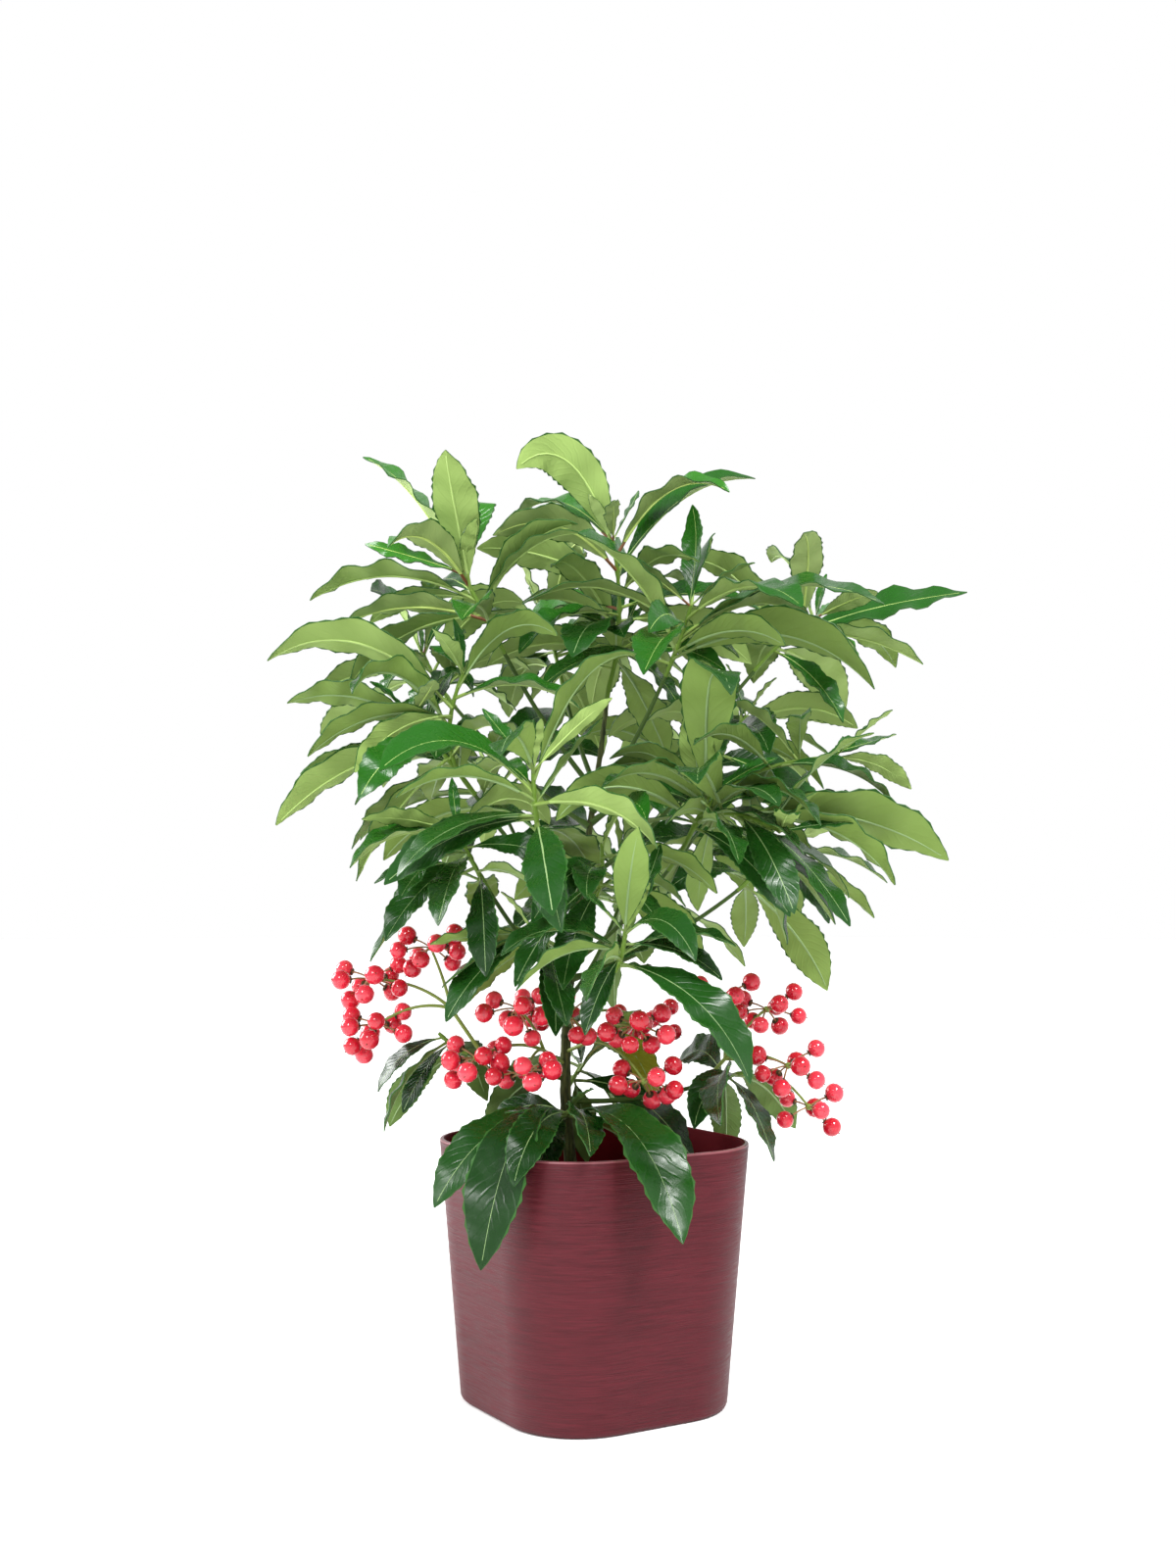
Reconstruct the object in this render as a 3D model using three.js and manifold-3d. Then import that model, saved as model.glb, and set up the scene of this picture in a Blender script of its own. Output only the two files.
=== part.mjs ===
// A potted coral berry, Ardisia crenata: one upright stem in a square cover pot, side boughs
// that each end in a whorl of leathery leaves, and bunches of round fruit on long stalks.
// Millimetres and degrees, +Z up. The origin is the middle of the pot's flat underside, and the
// pot's sides run along X and Y.
import * as THREE from "three";
import { mergeVertices } from "three/addons/utils/BufferGeometryUtils.js";
import Module from "manifold-3d";

const wasm = await Module();
wasm.setup();

// Driving dimensions
const GAP = 0.3; // between two pieces that meet
const CUT_GAP = 0.345; // round a limb that cuts another piece, a little more as the limb has facets
const POT = { side: 135, corner: 43, height: 127, taper: 10, wall: 2.6, floor: 3, foot: 2.5 };
const SOIL_TOP = 100; // height of the potting soil
const PLANT_TURN = -31; // how far the plant is turned in its pot

// The stem leans and bends as a cubic curve through these, from the soil to its tip
const STEM = { foot: [-8, 0, SOIL_TOP - 3], low: [-24, 0, 180], high: [-2, 0, 262], tip: [7, 0, 345] };
const STEM_RADII = { flare: 7.5, foot: 5.2, tip: 1.6, flareHeight: 14, taperPower: 0.8 };
const BOUGH_RADII = { foot: 1.8, tip: 1.25 };
const SHOOT_RADII = { hub: 1.32, foot: 1.2, tip: 0.8 };
const STALK_RADII = { hub: 0.99, foot: 0.9, tip: 0.6, pedicel: 0.45, knot: 1.7 };
const BOUGH_SAG = 0.1; // as a share of the bough's length
const STALK_LIFT = 0.5; // how far an umbel's stalk sets out upwards
const FACETS = { stem: [9, 14], bough: [5, 3], twig: [3, 4] }; // sides, and steps along the limb
const POT_CORNER_STEPS = 7;
const SIMPLER = 0.12; // facets closer to flat than this are joined

// A leaf's blade, as shares of its length, and its thickness; the length of shoot it stands on
const LEAF = { width: 0.345, petiole: 0.1, thickness: 1.1, stalk: 0.8, whorl: 28 };
const LEAF_STEPS = 24; // steps along a leaf's midrib
const LEAF_DROOP_POWER = 1.3; // how late along its length a leaf bends down
const LEAF_RINGS = [0.08, 0.36, 0.72]; // where the solid's sections stand
const TOP_LEAF = { length: 0.88, droop: 1.3 }; // of a shoot's top leaf, against those asked of it
const LOW_LEAF_DROOP = 0.95;
const BERRY_RADIUS = 4.8;
const PEDICEL = 14;
// An umbel's berries, from how high to how low they stand round the knot, and their luck
const UMBEL = { high: 0.55, span: 1.3, pedicel: [0.85, 1.2], berry: [0.9, 1.06], apart: 0.2 };
const UMBEL_FREEDOM = { first: 0.15, more: 0.08, turn: 180 };
// A berry's sections along its pedicel, in shares of its radius from its centre, and how far out
// of the knot the pedicel has its full width
const BERRY_RINGS = { neck: -0.96, low: -0.4, high: 0.45, end: 1.06, swell: 1.06 };
const KNOT_REACH = 2;

// The rule's constants: the turn from leaf to leaf, and how freely a leaf departs from it
const GOLDEN_TURN = 137.5;
const LUCK = { length: 0.06, width: 0.12, droop: 0.15, sweep: 0.3, roll: 48, twist: 40, fold: [8, 22] };
const FREEDOM = { lead: 2, ruled: 8, more: 4, rise: 0.6 }; // degrees, with more at each new try
const TRIES = 14;
const FUSSY_TRIES = 9; // as long as these last, a leaf stays off the blades of its own mass too
const CELL = 2.5; // grid that keeps each mass to its own space
const SAMPLE = 2.4; // spacing of the points that mark a piece's cells
const POT_CLEARANCE = 2;
// A whorl's top leaf and its longest reach as shares of its shoot, and the share of a leaf that may
// stand among its neighbours' roots
const WHORL = { top: 0.98, most: 0.8, roots: 0.35 };

// Each bough: the height at which it leaves the stem, and where it ends
const BOUGHS = [
  { name: "bough_left_top", height: 300, tip: [-44, -11, 368] },
  { name: "bough_right_top", height: 290, tip: [36, -17, 356] },
  { name: "bough_left_side", height: 240, tip: [-58, -21, 297] },
  { name: "bough_left_back", height: 282, tip: [-72, 36, 346] },
  { name: "bough_front_middle", height: 228, tip: [-24, -78, 272] },
  { name: "bough_right_shoulder", height: 284, tip: [84, 28, 364] },
  { name: "bough_right_back", height: 254, tip: [62, 40, 318] },
  { name: "bough_right_tip", height: 214, tip: [36, -44, 260] },
  { name: "bough_left_low", height: 200, tip: [-50, -36, 250] },
  { name: "bough_front_low", height: 184, tip: [10, -86, 214] },
  { name: "bough_centre", height: 220, tip: [2, -46, 248] },
  { name: "bough_back_top", height: 302, tip: [-16, 54, 360] },
  { name: "bough_back_right", height: 244, tip: [50, 88, 300] },
  { name: "bough_back_left", height: 232, tip: [-48, 82, 292] },
  { name: "bough_back_low", height: 196, tip: [14, 84, 240] },
  { name: "bough_side_back", height: 206, tip: [76, 44, 250] },
  { name: "bough_fruit_left", height: 158, tip: [-62, -8, 170] },
  { name: "bough_fruit_right", height: 146, tip: [62, 2, 156] },
];

// Each piece that a limb carries, in the order in which they take their space. A mass of foliage
// has shoots, each with its tip, its count of leaves, the bearing of its lowest leaf, its leaf
// length, the rise of its lowest and top leaf, and how much its leaves droop. Some shoots have lead
// leaves too, each with its bearing, its rise, its length and its droop. A bunch of fruit has
// umbels, each with its centre and its count of berries. Both may start from a hub of their own.
const PIECES = [
  { name: "leaves_foot_front", on: "stem", height: 138, seed: 31, shoots: [
    { tip: [-12, -38, 145], leaves: 2, turn: 150, size: 80, rise: [0, 20], droop: 2.4, whorl: 14, lead: [
      [-98, 30, 114, 3.6], [-46, 28, 106, 2.4], [-152, 16, 84, 2.2], [-84, 24, 66, 1.6]] }] },
  { name: "fruit_left", on: "bough_fruit_left", share: 0.8, seed: 51, hub: [-70, -10, 192], umbels: [
    { tip: [-80, -12, 222], berries: 10 },
    { tip: [-110, -4, 206], berries: 10 },
    { tip: [-106, -14, 184], berries: 10 }] },
  { name: "fruit_front_left", on: "stem", height: 164, seed: 52, hub: [-24, -16, 172], umbels: [
    { tip: [-56, -36, 170], berries: 10 },
    { tip: [-36, -42, 194], berries: 9 },
    { tip: [-32, -44, 164], berries: 9 }] },
  { name: "fruit_front_right", on: "stem", height: 170, seed: 54, hub: [-2, -16, 176], umbels: [
    { tip: [-12, -34, 190], berries: 6 },
    { tip: [20, -46, 186], berries: 9 },
    { tip: [24, -44, 160], berries: 9 }] },
  { name: "fruit_right", on: "bough_fruit_right", share: 0.9, seed: 55, hub: [66, 4, 166], umbels: [
    { tip: [88, 14, 190], berries: 9 },
    { tip: [68, 6, 198], berries: 6 },
    { tip: [96, -10, 164], berries: 8 },
    { tip: [108, 6, 142], berries: 6 }] },
  { name: "fruit_back", on: "stem", height: 176, seed: 56, hub: [-10, 16, 184], umbels: [
    { tip: [-24, 42, 190], berries: 8 },
    { tip: [28, 46, 182], berries: 8 }] },
  { name: "leaves_top", on: "stem", seed: 11, hub: [9, 2, 356], shoots: [
    { tip: [10, 0, 428], leaves: 8, turn: 250, size: 82, rise: [5, 60], droop: 1, whorl: 45, lead: [
      [175, 35, 56, 0.8], [5, 20, 80, 0.9], [172, 32, 74, 0.5], [10, 52, 84, 1], [182, 76, 82, 1.3]] },
    { tip: [16, 34, 384], leaves: 8, turn: 60, size: 76, rise: [0, 60], droop: 1.1 }] },
  { name: "leaves_right_top", on: "bough_right_top", seed: 12, shoots: [
    { tip: [48, -26, 390], leaves: 6, turn: 120, size: 90, rise: [5, 50], droop: 1.1, whorl: 36, lead: [
      [0, 45, 104, 1.3], [184, 52, 88, 0.7], [4, 46, 100, 1.1], [182, 66, 98, 1.5], [90, 64, 64, 0.2]] }] },
  { name: "leaves_left_top", on: "bough_left_top", seed: 13, shoots: [
    { tip: [-65, -15, 408], leaves: 6, turn: 60, size: 80, rise: [0, 60], droop: 1, lead: [
      [190, 30, 74, 0.9], [0, 35, 70, 0.9], [184, 40, 82, 1.3], [-80, 62, 78, 0.5], [176, 76, 84, 0.7]] }] },
  { name: "leaves_front_middle", on: "bough_front_middle", seed: 14, shoots: [
    { tip: [-27, -95, 304], leaves: 5, turn: 60, size: 78, rise: [-15, 40], droop: 1.1, lead: [
      [-80, -25, 62, 0.7], [200, 10, 76, 1], [40, 45, 54, 0.3], [184, 50, 80, 1.4], [12, 70, 78, 1]] }] },
  { name: "leaves_front_low", on: "bough_front_low", seed: 15, shoots: [
    { tip: [14, -108, 232], leaves: 3, turn: 40, size: 62, rise: [-15, 40], droop: 1.2, lead: [
      [-30, 5, 84, 1.5], [-120, -20, 44, 1.4], [180, 10, 56, 1.7], [0, -5, 50, 1.2], [70, 78, 56, 0.2]] }] },
  { name: "leaves_right_side", on: "bough_right_tip", seed: 16, hub: [46, -55, 277], shoots: [
    { tip: [54, -64, 294], leaves: 2, turn: -30, size: 70, rise: [0, 40], droop: 1, lead: [
      [185, 30, 78, 1.4], [150, 72, 50, 0.5], [178, 78, 96, 1.6]] },
    { tip: [116, -41, 314], leaves: 3, turn: 90, size: 50, rise: [5, 35], droop: 0.9, lead: [
      [-8, 40, 62, 1], [190, 20, 46, 0.8], [35, 58, 50, 0.2]] },
    { tip: [86, -75, 277], leaves: 3, turn: 200, size: 74, rise: [5, 40], droop: 1.1, lead: [
      [-22, 2, 74, 0.9], [8, 50, 106, 0.8], [0, 55, 80, 1.5], [150, 66, 64, 0.8]] },
    { tip: [72, -22, 272], leaves: 3, turn: 90, size: 74, rise: [-10, 30], droop: 1.1, lead: [
      [-120, -30, 50, 1], [-35, -30, 82, 1.8], [-15, -5, 70, 1.7], [0, 10, 62, 1.2]] }] },
  { name: "leaves_left_side", on: "bough_left_side", seed: 17, hub: [-63, -25, 304], shoots: [
    { tip: [-88, -35, 334], leaves: 4, turn: 100, size: 76, rise: [0, 50], droop: 1.1, lead: [
      [202, -20, 72, 0.8], [186, 20, 88, 1.5], [180, 12, 68, 0.3], [0, 58, 54, 1.7], [168, 60, 66, 0.9]] },
    { tip: [-62, -46, 354], leaves: 4, turn: 60, size: 78, rise: [5, 40], droop: 1, lead: [
      [184, 44, 78, 1.4], [180, 36, 100, 1.2], [2, 64, 64, 1.2]] }] },
  { name: "leaves_centre", on: "bough_centre", seed: 44, shoots: [
    { tip: [4, -62, 272], leaves: 9, turn: -100, size: 68, rise: [-20, 50], droop: 1.2 }] },
  { name: "leaves_left_low", on: "bough_left_low", seed: 19, shoots: [
    { tip: [-64, -50, 278], leaves: 3, turn: 120, size: 66, rise: [-20, 40], droop: 1.3, lead: [
      [-90, -15, 62, 2.2], [186, -10, 72, 1.2], [194, -20, 58, 1.2], [-12, 5, 50, 0.8],
      [-150, 30, 66, 1.4]] }] },
  { name: "leaves_right_shoulder", on: "bough_right_shoulder", seed: 21, shoots: [
    { tip: [118, 40, 394], leaves: 9, turn: 140, size: 78, rise: [5, 50], droop: 0.8, whorl: 48, lead: [
      [0, 48, 98, 0.5]] }] },
  { name: "leaves_right_back", on: "bough_right_back", seed: 23, shoots: [
    { tip: [82, 50, 343], leaves: 8, turn: 0, size: 80, rise: [0, 50], droop: 1 }] },
  { name: "leaves_left_back", on: "bough_left_back", seed: 24, shoots: [
    { tip: [-90, 46, 376], leaves: 8, turn: 150, size: 76, rise: [0, 60], droop: 1 }] },
  { name: "leaves_skirt", on: "stem", height: 218, seed: 25, shoots: [
    { tip: [-28, -48, 230], leaves: 3, turn: 120, size: 66, rise: [0, 40], droop: 1.2, lead: [
      [205, -25, 60, 1], [190, -10, 54, 1.2], [-100, -20, 56, 1.4], [225, 10, 60, 1.4]] }] },
  { name: "leaves_back_top", on: "bough_back_top", seed: 26, shoots: [
    { tip: [-24, 76, 396], leaves: 9, turn: 70, size: 82, rise: [0, 65], droop: 1 }] },
  { name: "leaves_back_right", on: "bough_back_right", seed: 27, shoots: [
    { tip: [60, 102, 326], leaves: 9, turn: 40, size: 84, rise: [-5, 60], droop: 1 }] },
  { name: "leaves_back_left", on: "bough_back_left", seed: 28, shoots: [
    { tip: [-58, 96, 318], leaves: 9, turn: 130, size: 84, rise: [-5, 60], droop: 1 }] },
  { name: "leaves_back_low", on: "bough_back_low", seed: 29, shoots: [
    { tip: [18, 98, 262], leaves: 8, turn: 90, size: 84, rise: [-15, 50], droop: 1.1 }] },
  { name: "leaves_side_back", on: "bough_side_back", seed: 34, shoots: [
    { tip: [92, 54, 274], leaves: 8, turn: 20, size: 82, rise: [-10, 50], droop: 1.1 }] },
  { name: "leaves_foot_left", on: "bough_fruit_left", seed: 31, shoots: [
    { tip: [-76, -10, 180], leaves: 2, turn: 90, size: 50, rise: [-20, 20], droop: 1.6, lead: [
      [-80, -10, 42, 1.8], [200, -10, 44, 1.6], [188, 10, 46, 1.4]] }] },
  { name: "leaves_foot_right", on: "bough_fruit_right", seed: 32, shoots: [
    { tip: [80, 2, 160], leaves: 3, turn: 60, size: 58, rise: [-20, 20], droop: 1.6, lead: [
      [-30, 0, 56, 1.6], [-60, 5, 60, 1.6], [5, 0, 52, 1.8]] }] },
  { name: "leaves_foot_back", on: "stem", height: 150, seed: 33, shoots: [
    { tip: [-6, 34, 160], leaves: 7, turn: 90, size: 84, rise: [-5, 20], droop: 1.8 }] },
];

const COLOURS = {
  pot: { color: 0x74363c, roughness: 0.55, metalness: 0 },
  soil: { color: 0x2b2019, roughness: 0.95, metalness: 0 },
  bark: { color: 0x4b5a2c, roughness: 0.8, metalness: 0 },
  leaf: { color: 0x3f7a2c, roughness: 0.4, metalness: 0 },
  fruit: { color: 0xd8293f, roughness: 0.3, metalness: 0 },
};

// Small helpers
const radians = (degrees) => (degrees * Math.PI) / 180;
const mix = (a, b, t) => a + (b - a) * t;
const vector = (xyz) => new THREE.Vector3(...xyz);
const up = new THREE.Vector3(0, 0, 1);

// Numbers from 0 to 1, the same for the same seed
function seeded(seed) {
  let state = seed * 7919;
  const next = () => {
    state = (state * 1664525 + 1013904223) % 4294967296;
    return state / 4294967296;
  };
  next();
  return next;
}

// A closed geometry as a solid
function solidOf(geometry) {
  const plain = geometry.index ? geometry.toNonIndexed() : geometry;
  plain.deleteAttribute("normal");
  plain.deleteAttribute("uv");
  const merged = mergeVertices(plain, 1e-4);
  return new wasm.Manifold(
    new wasm.Mesh({
      numProp: 3,
      vertProperties: new Float32Array(merged.getAttribute("position").array),
      triVerts: new Uint32Array(merged.index.array),
    }),
  );
}

// The largest body of a solid as a geometry, so that scraps and sealed hollows are left out
function geometryOf(solid) {
  const bodies = solid.decompose();
  const main = bodies.reduce((a, b) => (b.volume() > a.volume() ? b : a));
  const mesh = main.getMesh();
  const geometry = new THREE.BufferGeometry();
  geometry.setAttribute("position", new THREE.BufferAttribute(mesh.vertProperties, 3));
  geometry.setIndex(new THREE.BufferAttribute(mesh.triVerts, 1));
  return geometry;
}

// A limb: a closed cylinder bent along a curve, with a radius for each share of its length
function limbSolid(curve, radiusAt, [sides, steps]) {
  const blank = new THREE.CylinderGeometry(1, 1, 1, sides, steps);
  const place = blank.getAttribute("position");
  const frames = curve.computeFrenetFrames(steps, false);
  const point = new THREE.Vector3();
  for (let i = 0; i < place.count; i++) {
    const step = Math.round((place.getY(i) + 0.5) * steps);
    const radius = radiusAt(step / steps);
    curve.getPoint(step / steps, point);
    point.addScaledVector(frames.normals[step], place.getZ(i) * radius);
    point.addScaledVector(frames.binormals[step], place.getX(i) * radius);
    place.setXYZ(i, point.x, point.y, point.z);
  }
  return solidOf(blank);
}

// Pot and soil
// A rounded square block through a list of levels, each with its height and its side there
function levelledBlock(levels) {
  const half = POT.side / 2;
  const inner = half - POT.corner;
  const shape = new THREE.Shape();
  shape.moveTo(inner, -half);
  shape.absarc(inner, -inner, POT.corner, -Math.PI / 2, 0, false);
  shape.absarc(inner, inner, POT.corner, 0, Math.PI / 2, false);
  shape.absarc(-inner, inner, POT.corner, Math.PI / 2, Math.PI, false);
  shape.absarc(-inner, -inner, POT.corner, Math.PI, 1.5 * Math.PI, false);
  shape.closePath();
  const steps = levels.length - 1;
  const block = new THREE.ExtrudeGeometry(shape, {
    depth: steps,
    steps,
    bevelEnabled: false,
    curveSegments: POT_CORNER_STEPS,
  });
  const place = block.getAttribute("position");
  for (let i = 0; i < place.count; i++) {
    const [height, side] = levels[Math.round(place.getZ(i))];
    place.setXYZ(i, (place.getX(i) * side) / POT.side, (place.getY(i) * side) / POT.side, height);
  }
  return solidOf(block);
}

const potSideAt = (height) => mix(POT.side - 2 * POT.taper, POT.side, height / POT.height);
const levelAt = (height, inset) => [height, potSideAt(height) - 2 * inset];

function potSolid() {
  const outer = levelledBlock([levelAt(0, POT.foot), levelAt(POT.foot, 0), levelAt(POT.height, 0)]);
  return outer.subtract(levelledBlock([levelAt(POT.floor, POT.wall), levelAt(POT.height + 1, POT.wall)]));
}

function soilSolid() {
  const inset = POT.wall + GAP;
  return levelledBlock([levelAt(POT.floor + GAP, inset), levelAt(SOIL_TOP, inset)]);
}

// How far a point of the plant stands outside the pot's outer wall, negative inside it
function outsidePot(point) {
  const turned = point.clone().applyAxisAngle(up, radians(PLANT_TURN));
  const side = potSideAt(Math.min(point.z, POT.height));
  const corner = (POT.corner * side) / POT.side;
  const x = Math.abs(turned.x) - side / 2 + corner;
  const y = Math.abs(turned.y) - side / 2 + corner;
  return Math.hypot(Math.max(x, 0), Math.max(y, 0)) + Math.min(Math.max(x, y), 0) - corner;
}

// True if a point of a leaf or fruit is in the pot's wall or its soil, or almost
function meetsPot(point) {
  if (point.z > POT.height + POT_CLEARANCE) return false;
  const outside = outsidePot(point);
  if (outside > POT_CLEARANCE) return false;
  return outside > -POT.wall - POT_CLEARANCE || point.z < SOIL_TOP + POT_CLEARANCE;
}

// The space that each mass keeps to: a grid of cells, each taken by one piece
const GRID = { across: 200, up: 220 };
const cells = new Uint8Array(GRID.across * GRID.across * GRID.up);
const bladeCells = new Uint8Array(cells.length);
const owners = [""];

function cellAt(point) {
  const x = Math.floor(point.x / CELL) + GRID.across / 2;
  const y = Math.floor(point.y / CELL) + GRID.across / 2;
  return (x * GRID.across + y) * GRID.up + Math.floor(point.z / CELL);
}

// The numbers by which a cell's neighbours, and the cell itself, are found from it
const nextTo = [-1, 0, 1];
const neighbours = nextTo.flatMap((i) =>
  nextTo.flatMap((j) => nextTo.map((k) => (i * GRID.across + j) * GRID.up + k)),
);

function claim(points, owner) {
  if (!owners.includes(owner)) owners.push(owner);
  for (const point of points) cells[cellAt(point)] ||= owners.indexOf(owner);
}

function isFree(points, owner) {
  const own = owners.indexOf(owner);
  return points.every((point) => {
    const cell = cellAt(point);
    return !meetsPot(point) && neighbours.every((step) => !cells[cell + step] || cells[cell + step] === own);
  });
}

// A limb, twig or stalk takes the cells that its surface runs through
function claimLimb({ curve, radiusAt }, owner) {
  const steps = Math.ceil(curve.getLength() / SAMPLE);
  const around = 8;
  for (let i = 0; i <= steps; i++) {
    const centre = curve.getPoint(i / steps);
    const out = radiusAt(i / steps);
    const ring = Array.from({ length: around }, (_, j) => {
      const angle = (2 * Math.PI * j) / around;
      return new THREE.Vector3(centre.x + Math.cos(angle) * out, centre.y + Math.sin(angle) * out, centre.z);
    });
    claim(ring, owner);
  }
}

// Stem and boughs
const stemCurve = new THREE.CubicBezierCurve3(...Object.values(STEM).map(vector));

function stemRadiusAt(share) {
  const height = share * (STEM.tip[2] - STEM.foot[2]);
  const flare = Math.max(0, 1 - height / STEM_RADII.flareHeight);
  return mix(STEM_RADII.foot, STEM_RADII.tip, Math.pow(share, STEM_RADII.taperPower)) +
    (STEM_RADII.flare - STEM_RADII.foot) * flare * flare;
}

// The share of the stem's curve that stands at a height
function stemShareAt(height) {
  let low = 0;
  let high = 1;
  for (let i = 0; i < 40; i++) {
    const middle = (low + high) / 2;
    if (stemCurve.getPoint(middle).z < height) low = middle;
    else high = middle;
  }
  return low;
}

// A smooth curve from a start to a tip that sets out along a direction
function sprung(start, direction, tip) {
  const reach = start.distanceTo(tip) * 0.5;
  return new THREE.QuadraticBezierCurve3(start, start.clone().addScaledVector(direction, reach), tip);
}

const limbs = { stem: { curve: stemCurve, radiusAt: stemRadiusAt, facets: FACETS.stem } };

function growBough({ name, height, tip }) {
  const start = stemCurve.getPoint(stemShareAt(height));
  const end = vector(tip);
  const middle = start.clone().lerp(end, 0.5);
  middle.z -= start.distanceTo(end) * BOUGH_SAG;
  limbs[name] = {
    curve: new THREE.QuadraticBezierCurve3(start, middle, end),
    radiusAt: (share) => mix(BOUGH_RADII.foot, BOUGH_RADII.tip, share),
    facets: FACETS.bough,
  };
}

// A limb's solid made thicker by the gap, to cut what stands on its side
function clearOf(name) {
  const { curve, radiusAt, facets } = limbs[name];
  return limbSolid(curve, (share) => radiusAt(share) + CUT_GAP, facets);
}

// Where a mass or bunch sets out, which way, and what its solid is cut by
function seatOn(piece) {
  const limb = limbs[piece.on];
  const share = piece.height ? stemShareAt(piece.height) : piece.share ?? 1;
  const start = limb.curve.getPoint(share);
  const direction = limb.curve.getTangent(share);
  if (share === 1) return { start: start.addScaledVector(direction, GAP), direction, cut: null };
  return { start, direction: null, cut: clearOf(piece.on) };
}

// Leaves
// A leaf's midrib from its root, with the blade's sideways and upward directions at each step
function leafSpine(leaf) {
  const steps = [];
  const place = leaf.root.clone();
  const across = new THREE.Vector3(-Math.sin(leaf.bearing), Math.cos(leaf.bearing), 0);
  for (let i = 0; i <= LEAF_STEPS; i++) {
    const share = i / LEAF_STEPS;
    const along = leaf.direction.clone();
    along.z -= leaf.droop * Math.pow(share, LEAF_DROOP_POWER);
    along.addScaledVector(across, leaf.sweep * share * share);
    along.normalize();
    const side = across.clone().addScaledVector(along, -across.dot(along)).normalize();
    const upper = along.clone().cross(side);
    const roll = leaf.roll + leaf.twist * share * share;
    steps.push({
      place: place.clone(),
      side: side.clone().multiplyScalar(Math.cos(roll)).addScaledVector(upper, Math.sin(roll)),
      upper: upper.clone().multiplyScalar(Math.cos(roll)).addScaledVector(side, -Math.sin(roll)),
    });
    place.addScaledVector(along, leaf.length / LEAF_STEPS);
  }
  return steps;
}

// Half the blade's width at a share of the leaf's length
function halfWidthAt(leaf, share) {
  const blade = Math.max(0, (share - LEAF.petiole) / (1 - LEAF.petiole));
  return leaf.width * 2 * blade * (1 - blade);
}

// The blade's edge or any point between it and the midrib, where reach goes from -1 to 1
function bladePoint(leaf, spine, share, reach) {
  const exact = share * LEAF_STEPS;
  const first = Math.min(Math.floor(exact), LEAF_STEPS - 1);
  const part = exact - first;
  const { side, upper } = spine[first];
  const point = spine[first].place.clone().lerp(spine[first + 1].place, part);
  const half = halfWidthAt(leaf, share);
  point.addScaledVector(side, reach * half * Math.cos(leaf.fold));
  return point.addScaledVector(upper, Math.abs(reach) * half * Math.sin(leaf.fold));
}

// Points all over a blade from one share of its length on, close enough to mark its cells
function bladePoints(leaf, spine, from) {
  const found = [];
  const columns = Math.ceil(leaf.width / 2 / SAMPLE);
  const rows = Math.ceil(leaf.length / SAMPLE);
  for (let i = Math.ceil(from * rows); i <= rows; i++)
    for (let j = -columns; j <= columns; j++)
      found.push(bladePoint(leaf, spine, i / rows, j / columns));
  return found;
}

// A blank leaf: a sphere of four meridians. The quads of its underside are split along the same
// diagonals as those above them, so that a blade's two faces don't cross where it twists.
function leafBlank(rings) {
  const blank = new THREE.SphereGeometry(1, 4, rings);
  const corners = blank.index.array;
  for (let row = 1; row < rings - 1; row++) {
    for (const quad of [2, 3]) {
      const first = 12 * (2 * row - 1) + 6 * quad;
      const [a, b, , , c, d] = corners.slice(first, first + 6);
      corners.set([a, b, c, a, c, d], first);
    }
  }
  return blank;
}

// A leaf's solid: a blank pulled out along the midrib and flattened
function leafSolid({ leaf, spine }) {
  const rings = LEAF_RINGS.length + 1;
  const blank = leafBlank(rings);
  const place = blank.getAttribute("position");
  for (let i = 0; i < place.count; i++) {
    const ring = Math.round((Math.acos(THREE.MathUtils.clamp(place.getY(i), -1, 1)) / Math.PI) * rings);
    const share = [0, ...LEAF_RINGS, 1][ring];
    const round = ring === 0 || ring === rings ? 1 : Math.sin((ring / rings) * Math.PI);
    const sideways = Math.round(place.getX(i) / round);
    const upward = Math.round(place.getZ(i) / round);
    const point = bladePoint(leaf, spine, share, ring === 0 ? 0 : sideways);
    const { side, upper } = spine[Math.min(Math.floor(share * LEAF_STEPS), LEAF_STEPS - 1)];
    if (ring === 1) {
      point.copy(bladePoint(leaf, spine, share, 0)).addScaledVector(side, sideways * LEAF.stalk);
      point.addScaledVector(upper, upward * LEAF.stalk * 0.8);
    } else if (ring > 1 && ring < rings) {
      point.addScaledVector(upper, upward * LEAF.thickness * 0.5);
    }
    place.setXYZ(i, point.x, point.y, point.z);
  }
  return solidOf(blank);
}

// One leaf at its place on a shoot, about as asked: luck turns it a little, or more if freedom says
function drawLeaf({ bearing, rise, length, droop }, root, axis, freedom, random) {
  const swing = (most) => most * (2 * random() - 1);
  const turned = radians(bearing + swing(freedom));
  const raised = radians(rise + swing(freedom * FREEDOM.rise));
  const lean = axis.clone().add(up).normalize();
  const out = new THREE.Vector3(Math.cos(turned), Math.sin(turned), 0);
  out.addScaledVector(lean, -out.dot(lean)).normalize();
  const direction = out.multiplyScalar(Math.cos(raised)).addScaledVector(lean, Math.sin(raised));
  const grown = length * (1 + swing(LUCK.length));
  return {
    bearing: Math.atan2(direction.y, direction.x),
    direction,
    length: grown,
    width: grown * LEAF.width * (1 + swing(LUCK.width)),
    droop: droop * (1 + swing(LUCK.droop)),
    sweep: swing(LUCK.sweep),
    roll: radians(swing(LUCK.roll)),
    twist: radians(swing(LUCK.twist)),
    fold: radians(mix(...LUCK.fold, random())),
    root: root.clone().addScaledVector(direction, -SHOOT_RADII.tip * 0.5),
  };
}

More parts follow.
